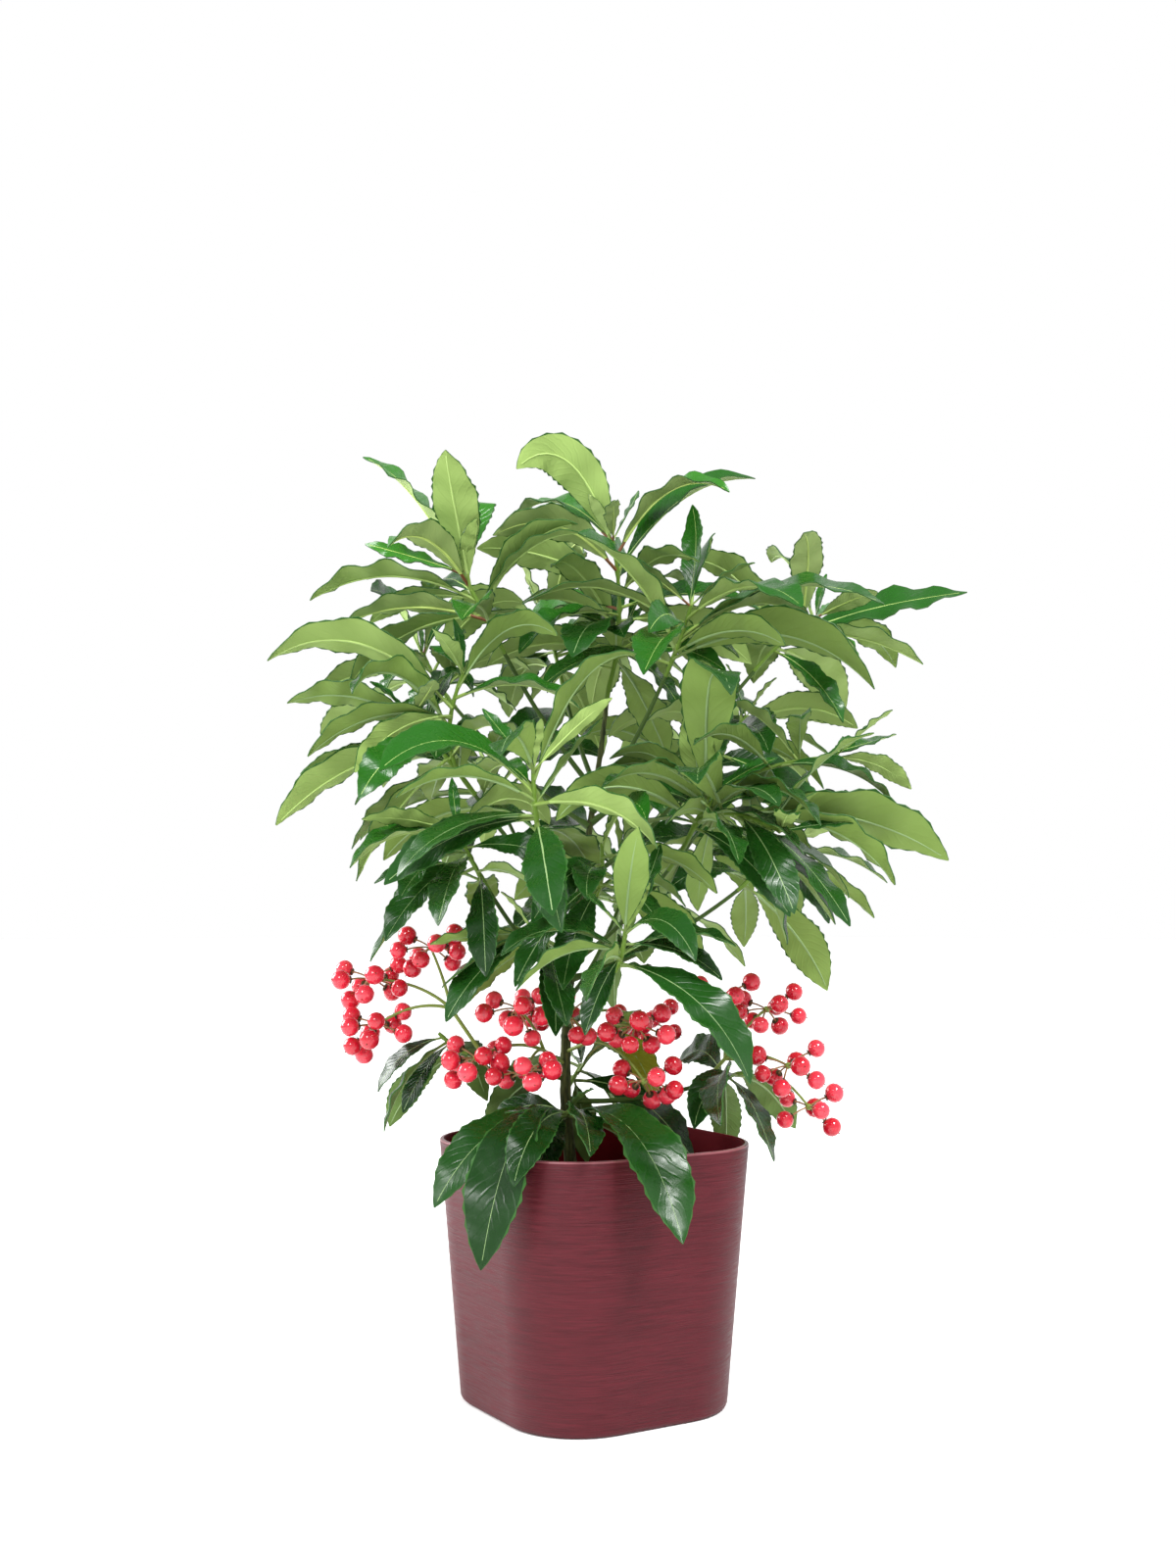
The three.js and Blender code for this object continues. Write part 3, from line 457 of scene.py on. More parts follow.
def rod_blank(sides, steps):
    """A closed rod of radius 1 and length 1 along Z, cut across into steps"""
    bm = bmesh.new()
    bmesh.ops.create_cone(bm, cap_ends=True, segments=sides, radius1=1, radius2=1, depth=1)
    upright = [edge for edge in bm.edges if abs(edge.verts[0].co.z - edge.verts[1].co.z) > 0.5]
    bmesh.ops.subdivide_edges(bm, edges=upright, cuts=steps - 1)
    return smooth_mesh(bm, "rod", ROD_RIM)


def levels_of(blank, steps):
    """The step of a rod on which each of its corners lies"""
    return np.rint((corners_of(blank)[:, 2] + 0.5) * steps).astype(int)


def bent(blank, centres, radii):
    """The corners of a rod bent along a row of centres, one for each of its steps"""
    corners = corners_of(blank)
    steps = len(centres) - 1
    level = levels_of(blank, steps)
    heading = unit(np.gradient(centres, axis=0))
    side = np.empty_like(centres)
    side[0] = unit(np.cross(heading[0], ASKEW))
    for step in range(1, steps + 1):
        side[step] = unit(side[step - 1] - heading[step] * (side[step - 1] @ heading[step]))
    other = np.cross(heading, side)
    across = corners[:, :1] * side[level] + corners[:, 1:2] * other[level]
    return centres[level] + across * radii[level, None]


def stem_radius(share):
    height = share * (STEM[3][2] - STEM[0][2])
    flare = np.maximum(0, 1 - height / STEM_RADII["flare_height"])
    taper = mix(STEM_RADII["foot"], STEM_RADII["tip"], share ** STEM_RADII["taper_power"])
    return taper + (STEM_RADII["flare"] - STEM_RADII["foot"]) * flare ** 2


def bough_radius(share):
    return mix(BOUGH_RADII["foot"], BOUGH_RADII["tip"], share)


def stem_share_at(height):
    """The share of the stem's curve that stands at a height"""
    low, high = 0.0, 1.0
    for _ in range(HALVINGS):
        middle = (low + high) / 2
        low, high = (middle, high) if curve_at(STEM, middle)[0, 2] < height else (low, middle)
    return low


limbs = {"stem": (STEM, stem_radius)}
for name, (height, tip) in BOUGHS.items():
    start = curve_at(STEM, stem_share_at(height))[0]
    middle = (start + tip) / 2 - (0, 0, np.linalg.norm(start - tip) * BOUGH_SAG)
    limbs[name] = ([start, middle, tip], bough_radius)

# Thin smooth bark: olive brown, with streaks 9 mm long and 1.2 mm wide along the stem
bark, shader, place = new_material("thin_smooth_bark", "#3d4525", 0.75, 1.4, specular=0.25)
streaks = add_streaks(bark, place, 1.2, 9, 4)
tone = add_node(bark, "ShaderNodeValToRGB", {"Fac": streaks}, shader.inputs["Base Color"])
set_tones(tone, (0.35, 0.68), ("#28311a", "#545a31"))
add_node(bark, "ShaderNodeBump", {"Height": streaks, "Distance": 0.25 * MM}, shader.inputs["Normal"])

# Green bark of the young wood: smooth and a little waxy, finely grained at about 1 mm
green_bark, shader, place = new_material("green_bark", "#3b5320", 0.55, 1.42, specular=0.25)
grain = add_grain(green_bark, shader, place, 1, 0.1, detail=3)
add_node(green_bark, "ShaderNodeMapRange", {
    "Value": grain, "From Min": 0.3, "From Max": 0.7, "To Min": 0.45, "To Max": 0.65},
    shader.inputs["Roughness"])

sides, steps = STEM_FACETS
shares = shares_of(steps)
stem_centres = curve_at(STEM, shares)
travelled = np.append(0, np.cumsum(np.linalg.norm(np.diff(stem_centres, axis=0), axis=1)))
from_scar = np.abs((travelled / STEM_SCARS["apart"] + 0.5) % 1 - 0.5) * STEM_SCARS["apart"]
rings = STEM_SCARS["height"] * np.exp(-(from_scar / STEM_SCARS["width"]) ** 2)
stem_blank = rod_blank(sides, steps)
stem_shape = bent(stem_blank, stem_centres, stem_radius(shares) * BARK_SHARE["stem"] + rings)
outward = stem_shape - stem_centres[levels_of(stem_blank, steps)]
scale = np.array([1 / STEM_RELIEF["across"]] * 2 + [1 / STEM_RELIEF["along"]])
relief = np.array([noise.noise(Vector(corner)) for corner in stem_shape * scale])
depth = relief * STEM_RELIEF["depth"] / np.linalg.norm(outward, axis=1).clip(STEM_RELIEF["thinnest"])
stem_shape += outward * depth[:, None]
shown(joined("main_stem", [(stem_blank, [stem_shape], 0)]), [bark], ["stem"])

bough_blank = rod_blank(*BOUGH_FACETS)
shares = shares_of(BOUGH_FACETS[1])
bough_shapes = []
for name in BOUGHS:
    controls, radius = limbs[name]
    out = (shares * curve_length(controls) - BOUGH_COLLAR["from"]).clip(0)
    collar = np.exp(-(out / BOUGH_COLLAR["length"]) ** 2)
    radii = radius(shares) * BARK_SHARE["bough"] + BOUGH_COLLAR["out"] * collar
    bough_shapes.append(bent(bough_blank, curve_at(controls, shares), radii))
shown(joined("side_boughs", [(bough_blank, bough_shapes, 0)]), [green_bark], list(BOUGHS))


# Shoots and fruit stalks. Each bough grows on as soft green shoots, and the stem and the low boughs
# as thinner stalks that end in the knots of the fruit's umbels. Leaves and berries take their
# places here in turn, each mass keeping to its own space, as in the CAD model.
SHOOT_RADII = {"hub": 1.32, "foot": 1.2, "tip": 0.8}
STALK_RADII = {"hub": 0.99, "foot": 0.9, "tip": 0.6, "pedicel": 0.45, "knot": 1.7}
STALK_LIFT = 0.5  # how far an umbel's stalk sets out upwards
SPRING = 0.5  # the share of its span over which a shoot or stalk keeps to the way it sets out
SHOOT_GAP = 0.3  # between the tip of a bough and the foot of its shoot, in millimetres
TWIG_FACETS = (7, 20)
NODE_SWELLING = {"out": 0.3, "length": 1.6}

# Width and petiole are shares of a leaf's length, and its root is sunk by a share of the shoot's radius
LEAF = {"width": 0.345, "petiole": 0.1, "sunk": 0.5}
LEAF_STEPS = 24
LEAF_DROOP_POWER = 1.3
TOP_LEAF = {"length": 0.88, "droop": 1.3}
LOW_LEAF_DROOP = 0.95
BERRY_RADIUS = 4.8
PEDICEL = 14
# The sine of its highest pedicel's rise and the span down to its lowest, the least and greatest share
# of their measures that pedicels and berries have, and the least gap between berries in millimetres
UMBEL = {"high": 0.55, "span": 1.3, "pedicel": (0.85, 1.2), "berry": (0.9, 1.06), "apart": 0.2}
# How widely luck spreads that sine at the first try, how much more at each further one, and how many
# degrees of turn go with it
UMBEL_FREEDOM = {"first": 0.15, "more": 0.08, "turn": 180}

GOLDEN_TURN = 137.5
UP = np.array((0, 0, 1))
# How far luck moves a leaf: shares of its length, width and droop, its sideways sweep, and its roll,
# twist and fold in degrees
LUCK = {"length": 0.06, "width": 0.12, "droop": 0.15, "sweep": 0.3, "roll": 48, "twist": 40,
        "fold": (8, 22)}
DRAW = {"seed": 7919, "factor": 1664525, "step": 1013904223, "range": 2 ** 32}
# How many degrees a leaf may stand off its bearing, and how many more at each further try, and the
# share of them by which its rise may be off
FREEDOM = {"lead": 2, "ruled": 8, "more": 4, "rise": 0.6}
TRIES = 14
FUSSY_TRIES = 9  # tries in which a blade may not cross another of its own mass
CELL = 2.5  # side of the cells in which the masses keep apart, in millimetres
GRID = {"across": 200, "up": 220}  # count of cells
SAMPLE = 2.4  # distance between the points that mark cells
LIMB_POINTS = 8
BALL_POINTS = 48
POT_CLEARANCE = 2
# The shares of a shoot at which its top leaf stands and that its leaves may take at most, and the
# share of a leaf's length in which it may cross others
WHORL = {"top": 0.98, "most": 0.8, "roots": 0.35}


def shoot_to(tip, leaves, turn, size, rise, droop, lead=(), whorl=28):
    """A shoot: its tip, its count of leaves, the bearing of its lowest leaf, its leaf length, the rise
    of its lowest and top leaf, how much its leaves droop, lead leaves with their bearing, rise,
    length and droop, and the length of shoot on which the leaves stand"""
    return {"tip": tip, "leaves": leaves, "turn": turn, "size": size, "rise": rise, "droop": droop,
            "lead": lead, "whorl": whorl}


def umbel_at(middle, berries):
    return {"tip": middle, "berries": berries}


# Each piece that a limb carries, in the order in which they take their space: the limb, the height or
# the share of its length at which the piece leaves it, if not at its tip, the seed, the hub at which
# its stem forks, if it does, and its shoots or its umbels
PIECES = {
    "leaves_foot_front": {"on": "stem", "height": 138, "seed": 31, "shoots": [
      shoot_to([-12, -38, 145], 2, 150, 80, [0, 20], 2.4, whorl=14, lead=[
        [-98, 30, 114, 3.6], [-46, 28, 106, 2.4], [-152, 16, 84, 2.2], [-84, 24, 66, 1.6]])]},
    "fruit_left": {"on": "bough_fruit_left", "share": 0.8, "seed": 51, "hub": [-70, -10, 192], "umbels": [
      umbel_at([-80, -12, 222], 10),
      umbel_at([-110, -4, 206], 10),
      umbel_at([-106, -14, 184], 10)]},
    "fruit_front_left": {"on": "stem", "height": 164, "seed": 52, "hub": [-24, -16, 172], "umbels": [
      umbel_at([-56, -36, 170], 10),
      umbel_at([-36, -42, 194], 9),
      umbel_at([-32, -44, 164], 9)]},
    "fruit_front_right": {"on": "stem", "height": 170, "seed": 54, "hub": [-2, -16, 176], "umbels": [
      umbel_at([-12, -34, 190], 6),
      umbel_at([20, -46, 186], 9),
      umbel_at([24, -44, 160], 9)]},
    "fruit_right": {"on": "bough_fruit_right", "share": 0.9, "seed": 55, "hub": [66, 4, 166], "umbels": [
      umbel_at([88, 14, 190], 9),
      umbel_at([68, 6, 198], 6),
      umbel_at([96, -10, 164], 8),
      umbel_at([108, 6, 142], 6)]},
    "fruit_back": {"on": "stem", "height": 176, "seed": 56, "hub": [-10, 16, 184], "umbels": [
      umbel_at([-24, 42, 190], 8),
      umbel_at([28, 46, 182], 8)]},
    "leaves_top": {"on": "stem", "seed": 11, "hub": [9, 2, 356], "shoots": [
      shoot_to([10, 0, 428], 8, 250, 82, [5, 60], 1, whorl=45, lead=[
        [175, 35, 56, 0.8], [5, 20, 80, 0.9], [172, 32, 74, 0.5], [10, 52, 84, 1], [182, 76, 82, 1.3]]),
      shoot_to([16, 34, 384], 8, 60, 76, [0, 60], 1.1)]},
    "leaves_right_top": {"on": "bough_right_top", "seed": 12, "shoots": [
      shoot_to([48, -26, 390], 6, 120, 90, [5, 50], 1.1, whorl=36, lead=[
        [0, 45, 104, 1.3], [184, 52, 88, 0.7], [4, 46, 100, 1.1], [182, 66, 98, 1.5], [90, 64, 64, 0.2]])]},
    "leaves_left_top": {"on": "bough_left_top", "seed": 13, "shoots": [
      shoot_to([-65, -15, 408], 6, 60, 80, [0, 60], 1, lead=[
        [190, 30, 74, 0.9], [0, 35, 70, 0.9], [184, 40, 82, 1.3], [-80, 62, 78, 0.5], [176, 76, 84, 0.7]])]},
    "leaves_front_middle": {"on": "bough_front_middle", "seed": 14, "shoots": [
      shoot_to([-27, -95, 304], 5, 60, 78, [-15, 40], 1.1, lead=[
        [-80, -25, 62, 0.7], [200, 10, 76, 1], [40, 45, 54, 0.3], [184, 50, 80, 1.4], [12, 70, 78, 1]])]},
    "leaves_front_low": {"on": "bough_front_low", "seed": 15, "shoots": [
      shoot_to([14, -108, 232], 3, 40, 62, [-15, 40], 1.2, lead=[
        [-30, 5, 84, 1.5], [-120, -20, 44, 1.4], [180, 10, 56, 1.7], [0, -5, 50, 1.2], [70, 78, 56, 0.2]])]},
    "leaves_right_side": {"on": "bough_right_tip", "seed": 16, "hub": [46, -55, 277], "shoots": [
      shoot_to([54, -64, 294], 2, -30, 70, [0, 40], 1, lead=[
        [185, 30, 78, 1.4], [150, 72, 50, 0.5], [178, 78, 96, 1.6]]),
      shoot_to([116, -41, 314], 3, 90, 50, [5, 35], 0.9, lead=[
        [-8, 40, 62, 1], [190, 20, 46, 0.8], [35, 58, 50, 0.2]]),
      shoot_to([86, -75, 277], 3, 200, 74, [5, 40], 1.1, lead=[
        [-22, 2, 74, 0.9], [8, 50, 106, 0.8], [0, 55, 80, 1.5], [150, 66, 64, 0.8]]),
      shoot_to([72, -22, 272], 3, 90, 74, [-10, 30], 1.1, lead=[
        [-120, -30, 50, 1], [-35, -30, 82, 1.8], [-15, -5, 70, 1.7], [0, 10, 62, 1.2]])]},
    "leaves_left_side": {"on": "bough_left_side", "seed": 17, "hub": [-63, -25, 304], "shoots": [
      shoot_to([-88, -35, 334], 4, 100, 76, [0, 50], 1.1, lead=[
        [202, -20, 72, 0.8], [186, 20, 88, 1.5], [180, 12, 68, 0.3], [0, 58, 54, 1.7], [168, 60, 66, 0.9]]),
      shoot_to([-62, -46, 354], 4, 60, 78, [5, 40], 1, lead=[
        [184, 44, 78, 1.4], [180, 36, 100, 1.2], [2, 64, 64, 1.2]])]},
    "leaves_centre": {"on": "bough_centre", "seed": 44, "shoots": [
      shoot_to([4, -62, 272], 9, -100, 68, [-20, 50], 1.2)]},
    "leaves_left_low": {"on": "bough_left_low", "seed": 19, "shoots": [
      shoot_to([-64, -50, 278], 3, 120, 66, [-20, 40], 1.3, lead=[
        [-90, -15, 62, 2.2], [186, -10, 72, 1.2], [194, -20, 58, 1.2], [-12, 5, 50, 0.8],
        [-150, 30, 66, 1.4]])]},
    "leaves_right_shoulder": {"on": "bough_right_shoulder", "seed": 21, "shoots": [
      shoot_to([118, 40, 394], 9, 140, 78, [5, 50], 0.8, whorl=48, lead=[
        [0, 48, 98, 0.5]])]},
    "leaves_right_back": {"on": "bough_right_back", "seed": 23, "shoots": [
      shoot_to([82, 50, 343], 8, 0, 80, [0, 50], 1)]},
    "leaves_left_back": {"on": "bough_left_back", "seed": 24, "shoots": [
      shoot_to([-90, 46, 376], 8, 150, 76, [0, 60], 1)]},
    "leaves_skirt": {"on": "stem", "height": 218, "seed": 25, "shoots": [
      shoot_to([-28, -48, 230], 3, 120, 66, [0, 40], 1.2, lead=[
        [205, -25, 60, 1], [190, -10, 54, 1.2], [-100, -20, 56, 1.4], [225, 10, 60, 1.4]])]},
    "leaves_back_top": {"on": "bough_back_top", "seed": 26, "shoots": [
      shoot_to([-24, 76, 396], 9, 70, 82, [0, 65], 1)]},
    "leaves_back_right": {"on": "bough_back_right", "seed": 27, "shoots": [
      shoot_to([60, 102, 326], 9, 40, 84, [-5, 60], 1)]},
    "leaves_back_left": {"on": "bough_back_left", "seed": 28, "shoots": [
      shoot_to([-58, 96, 318], 9, 130, 84, [-5, 60], 1)]},
    "leaves_back_low": {"on": "bough_back_low", "seed": 29, "shoots": [
      shoot_to([18, 98, 262], 8, 90, 84, [-15, 50], 1.1)]},
    "leaves_side_back": {"on": "bough_side_back", "seed": 34, "shoots": [
      shoot_to([92, 54, 274], 8, 20, 82, [-10, 50], 1.1)]},
    "leaves_foot_left": {"on": "bough_fruit_left", "seed": 31, "shoots": [
      shoot_to([-76, -10, 180], 2, 90, 50, [-20, 20], 1.6, lead=[
        [-80, -10, 42, 1.8], [200, -10, 44, 1.6], [188, 10, 46, 1.4]])]},
    "leaves_foot_right": {"on": "bough_fruit_right", "seed": 32, "shoots": [
      shoot_to([80, 2, 160], 3, 60, 58, [-20, 20], 1.6, lead=[
        [-30, 0, 56, 1.6], [-60, 5, 60, 1.6], [5, 0, 52, 1.8]])]},
    "leaves_foot_back": {"on": "stem", "height": 150, "seed": 33, "shoots": [
      shoot_to([-6, 34, 160], 7, 90, 84, [-5, 20], 1.8)]},
}


def seeded(seed):
    """Numbers from 0 to 1, the same as the CAD model draws for a seed"""
    state = seed * DRAW["seed"]
    while True:
        state = (state * DRAW["factor"] + DRAW["step"]) % DRAW["range"]
        yield state / DRAW["range"]


def meets_pot(points):
    """True where a point of a leaf or fruit is in the pot's wall or its mix, or almost"""
    x, y, z = turned(points, PLANT_TURN).T
    side = POT["side"] - 2 * POT["taper"] * (1 - np.minimum(z, POT["height"]) / POT["height"])
    corner = POT["corner"] * side / POT["side"]
    along = np.abs(x) - side / 2 + corner
    across = np.abs(y) - side / 2 + corner
    outside = np.hypot(along.clip(0), across.clip(0)) + np.maximum(along, across).clip(max=0) - corner
    in_wall = outside > -POT["wall"] - POT_CLEARANCE
    near = (z <= POT["height"] + POT_CLEARANCE) & (outside <= POT_CLEARANCE)
    return near & (in_wall | (z < SOIL["top"] + POT_CLEARANCE))


cells = np.zeros(GRID["across"] ** 2 * GRID["up"], np.uint8)
blade_cells = np.zeros(len(cells), bool)
owners = []
steps = np.arange(-1, 2)
neighbours = ((steps[:, None, None] * GRID["across"] + steps[:, None]) * GRID["up"] + steps).ravel()


def cell_at(points):
    """The number of the cell in which each point lies"""
    x, y, z = np.floor(np.asarray(points) / CELL).astype(int).T
    middle = GRID["across"] // 2
    return ((x + middle) * GRID["across"] + y + middle) * GRID["up"] + z


def claim(points, owner):
    """Gives an owner the cells of points that are still free"""
    if owner not in owners:
        owners.append(owner)
    found = cell_at(points)
    found = found[cells[found] == 0]
    cells[found] = owners.index(owner) + 1


def is_free(points, owner):
    """True if no cell at or beside the points belongs to another owner, and none meets the pot"""
    around = cells[cell_at(points)[:, None] + neighbours]
    taken = (around != 0) & (around != owners.index(owner) + 1)
    return not taken.any() and not meets_pot(points).any()


def claim_limb(controls, radius_at, owner):
    shares = shares_of(math.ceil(curve_length(controls) / SAMPLE))
    angles = 2 * math.pi * np.arange(LIMB_POINTS) / LIMB_POINTS
    ring = np.stack([np.cos(angles), np.sin(angles), 0 * angles], axis=-1)
    around = ring * radius_at(shares)[:, None, None]
    claim((curve_at(controls, shares)[:, None] + around).reshape(-1, 3), owner)


def sprung(start, direction, tip):
    """A smooth curve from a start to a tip that sets out along a direction"""
    return [start, start + direction * np.linalg.norm(start - tip) * SPRING, tip]


def tapered(foot, tip):
    return lambda shares: mix(foot, tip, shares)


def grow_stems(name, piece):
    """The curves of a mass or bunch: one to its hub, if it has one, and one to each tip"""
    controls, _ = limbs[piece["on"]]
    fruit = "umbels" in piece
    radii = STALK_RADII if fruit else SHOOT_RADII
    share = stem_share_at(piece["height"]) if "height" in piece else piece.get("share", 1)
    start = curve_at(controls, share)[0]
    direction = None
    if share == 1:
        direction = heading_at(controls, 1)
        start = start + direction * SHOOT_GAP
    stems = []
    if "hub" in piece:
        hub = np.array(piece["hub"], float)
        direction = unit(hub - start) if direction is None else direction
        stems.append((sprung(start, direction, hub), tapered(radii["hub"], radii["hub"])))
        direction = heading_at(stems[0][0], 1)
        start = hub
    ends = piece["umbels"] if fruit else piece["shoots"]
    for end in ends:
        tip = np.array(end["tip"], float)
        straight = unit(tip - start)
        if fruit:
            heading = unit(straight + STALK_LIFT * UP)
        else:
            heading = straight if direction is None else direction
        end["curve"] = sprung(start, heading, tip)
        stems.append((end["curve"], tapered(radii["foot"], radii["tip"])))
    for curve, radius in stems:
        claim_limb(curve, radius, name)
    return stems


def leaf_spine(leaf):
    """A leaf's midrib, with the blade's sideways and upward directions at each step"""
    share = shares_of(LEAF_STEPS)[:, None]
    across = np.array((-math.sin(leaf["bearing"]), math.cos(leaf["bearing"]), 0))
    along = leaf["direction"] - leaf["droop"] * share ** LEAF_DROOP_POWER * UP
    along = unit(along + across * leaf["sweep"] * share ** 2)
    steps = along[:-1] * leaf["length"] / LEAF_STEPS
    places = leaf["root"] + np.vstack([np.zeros(3), np.cumsum(steps, axis=0)])
    side = unit(across - along * (along @ across)[:, None])
    upper = np.cross(along, side)
    roll = leaf["roll"] + leaf["twist"] * share ** 2
    return places, side * np.cos(roll) + upper * np.sin(roll), upper * np.cos(roll) - side * np.sin(roll)


def blade_points(leaf, start):
    """Points all over a blade from one share of its length on, close enough to mark its cells"""
    places, side, upper = leaf["spine"]
    columns = math.ceil(leaf["width"] / 2 / SAMPLE)
    rows = math.ceil(leaf["length"] / SAMPLE)
    share = (np.arange(math.ceil(start * rows), rows + 1) / rows)[:, None]
    reach = np.arange(-columns, columns + 1)[:, None] / columns
    first = np.minimum(np.floor(share[:, 0] * LEAF_STEPS).astype(int), LEAF_STEPS - 1)
    part = share * LEAF_STEPS - first[:, None]
    middle = places[first] + (places[first + 1] - places[first]) * part
    blade = ((share - LEAF["petiole"]) / (1 - LEAF["petiole"])).clip(0)
    half = leaf["width"] * 2 * blade * (1 - blade)
    sideways = (half * math.cos(leaf["fold"]))[:, None] * reach * side[first][:, None]
    upward = (half * math.sin(leaf["fold"]))[:, None] * np.abs(reach) * upper[first][:, None]
    return (middle[:, None] + sideways + upward).reshape(-1, 3)


def draw_leaf(asked, root, axis, freedom, luck):
    """One leaf at its place on a shoot, about as asked, turned a little by luck and freedom"""
    def swing(most):
        return most * (2 * next(luck) - 1)

    turn = math.radians(asked["bearing"] + swing(freedom))
    rise = math.radians(asked["rise"] + swing(freedom * FREEDOM["rise"]))
    lean = unit(axis + UP)
    out = np.array((math.cos(turn), math.sin(turn), 0))
    out = unit(out - lean * (out @ lean))
    direction = out * math.cos(rise) + lean * math.sin(rise)
    length = asked["length"] * (1 + swing(LUCK["length"]))
    leaf = {
        "bearing": math.atan2(direction[1], direction[0]),
        "direction": direction,
        "length": length,
        "width": length * LEAF["width"] * (1 + swing(LUCK["width"])),
        "droop": asked["droop"] * (1 + swing(LUCK["droop"])),
        "sweep": swing(LUCK["sweep"]),
        "roll": math.radians(swing(LUCK["roll"])),
        "twist": math.radians(swing(LUCK["twist"])),
        "fold": math.radians(mix(*LUCK["fold"], next(luck))),
        "root": root - direction * SHOOT_RADII["tip"] * LEAF["sunk"],
        "age": asked["age"],
    }
    leaf["spine"] = leaf_spine(leaf)
    return leaf


def asked_leaves(shoot):
    """The lead leaves, then those set by the rule, aged 1 for the lowest to 0 for the top one"""
    for i, (bearing, rise, length, droop) in enumerate(shoot["lead"]):
        yield {"bearing": bearing, "rise": rise, "length": length, "droop": droop,
               "age": 1 - (i + 0.5) / len(shoot["lead"]), "freedom": FREEDOM["lead"]}
    for i in range(shoot["leaves"]):
        age = 1 - i / max(1, shoot["leaves"] - 1)
        yield {"bearing": shoot["turn"] + i * GOLDEN_TURN, "rise": mix(*shoot["rise"][::-1], age),
               "length": shoot["size"] * mix(TOP_LEAF["length"], 1, age),
               "droop": shoot["droop"] * mix(TOP_LEAF["droop"], LOW_LEAF_DROOP, age),
               "age": age, "freedom": FREEDOM["ruled"]}


def place_leaf(asked, curve, share, owner, luck):
    """Adds a leaf to a mass in the first free space that luck finds for it, if any"""
    root, axis = curve_at(curve, share)[0], heading_at(curve, share)
    for attempt in range(TRIES):
        leaf = draw_leaf(asked, root, axis, asked["freedom"] + FREEDOM["more"] * attempt, luck)
        points = blade_points(leaf, LEAF["petiole"])
        blade = cell_at(blade_points(leaf, WHORL["roots"]))
        if not is_free(points, owner) or (attempt < FUSSY_TRIES and blade_cells[blade].any()):
            continue
        claim(points, owner)
        blade_cells[blade] = True
        leaf["width"] *= asked.get("slim", 1)
        leaves[owner].append(leaf)
        break


def shoots_of(name, seed=0):
    """The shoots of a mass, each with the numbers that the mass draws for the seed"""
    luck = seeded(seed + PIECES[name]["seed"])
    next(luck)
    for shoot in PIECES[name]["shoots"]:
        yield shoot, luck


def grow_leaves(name):
    """Sets the whorl of each shoot of a mass, in which older leaves stand lower"""
    for shoot, luck in shoots_of(name):
        whorl = min(WHORL["most"], shoot["whorl"] / curve_length(shoot["curve"]))
        for asked in asked_leaves(shoot):
            place_leaf(asked, shoot["curve"], WHORL["top"] - whorl * asked["age"], name, luck)


def ball_points(centre, radius):
    level = 1 - (2 * np.arange(BALL_POINTS) + 1) / BALL_POINTS
    out = radius * np.sqrt(1 - level ** 2)
    angle = np.radians(np.arange(BALL_POINTS) * GOLDEN_TURN)
    return centre + np.stack([np.cos(angle) * out, np.sin(angle) * out, level * radius], axis=-1)


def grow_berries(name):
    """Sets the berries of each umbel of a bunch round its knot, from the highest down"""
    luck = seeded(PIECES[name]["seed"])
    next(luck)
    for umbel in PIECES[name]["umbels"]:
        knot = np.array(umbel["tip"], float)
        for i in range(umbel["berries"]):
            for attempt in range(TRIES):
                freedom = UMBEL_FREEDOM["first"] + UMBEL_FREEDOM["more"] * attempt
                lower = UMBEL["span"] * (i + 0.5) / umbel["berries"]
                level = UMBEL["high"] - lower + freedom * (next(luck) - 0.5)
                bearing = math.radians(i * GOLDEN_TURN + UMBEL_FREEDOM["turn"] * freedom * next(luck))
                length = PEDICEL * mix(*UMBEL["pedicel"], next(luck))
                radius = BERRY_RADIUS * mix(*UMBEL["berry"], next(luck))
                flat = math.sqrt(max(0, 1 - level * level))
                way = np.array((math.cos(bearing) * flat, math.sin(bearing) * flat, level))
                centre = knot + length * way
                points = ball_points(centre, radius)
                near = any(
                    np.linalg.norm(other["centre"] - centre) < other["radius"] + radius + UMBEL["apart"]
                    for other in berries[name])
                if near or not is_free(points, name):
                    continue
                claim(points, name)
                claim_limb([knot, centre], tapered(STALK_RADII["pedicel"], STALK_RADII["pedicel"]), name)
                berries[name].append({"centre": centre, "radius": radius, "knot": knot})
                break


for name, (controls, radius_at) in limbs.items():
    claim_limb(controls, radius_at, name)
grown_stems = {name: grow_stems(name, piece) for name, piece in PIECES.items()}
leaves, berries = {}, {}
for name, piece in PIECES.items():
    if "umbels" in piece:
        berries[name] = []
        grow_berries(name)
    else:
        leaves[name] = []
        grow_leaves(name)

# Soft green shoots, waxier and lighter than the boughs, and the still lighter stalks of the fruit,
# both finely grained at about 1 mm
soft_green, shader, place = new_material("soft_green_shoot", "#5c7a28", 0.5, 1.42, specular=0.3)
add_grain(soft_green, shader, place, 1, 0.08)
olive_stalk, shader, place = new_material("olive_fruit_stalk", "#76883a", 0.5, 1.42)
add_grain(olive_stalk, shader, place, 1, 0.08)

# A soft shoot is thicker where a leaf stands on it
twig_blank = rod_blank(*TWIG_FACETS)
shares = shares_of(TWIG_FACETS[1])
shoot_shapes, stalk_shapes = [], []
for name, stems in grown_stems.items():
    for controls, radius_at in stems:
        centres = curve_at(controls, shares)
        centres[0] -= heading_at(controls, 0) * 2 * SHOOT_GAP
        radii = radius_at(shares)
        for leaf in leaves.get(name, []):
            apart = np.linalg.norm(centres - leaf["root"], axis=1)
            radii = radii + NODE_SWELLING["out"] * np.exp(-(apart / NODE_SWELLING["length"]) ** 2)
        (shoot_shapes if name in leaves else stalk_shapes).append(bent(twig_blank, centres, radii))
shown(joined("green_shoots", [(twig_blank, shoot_shapes, 0)]), [soft_green], [])
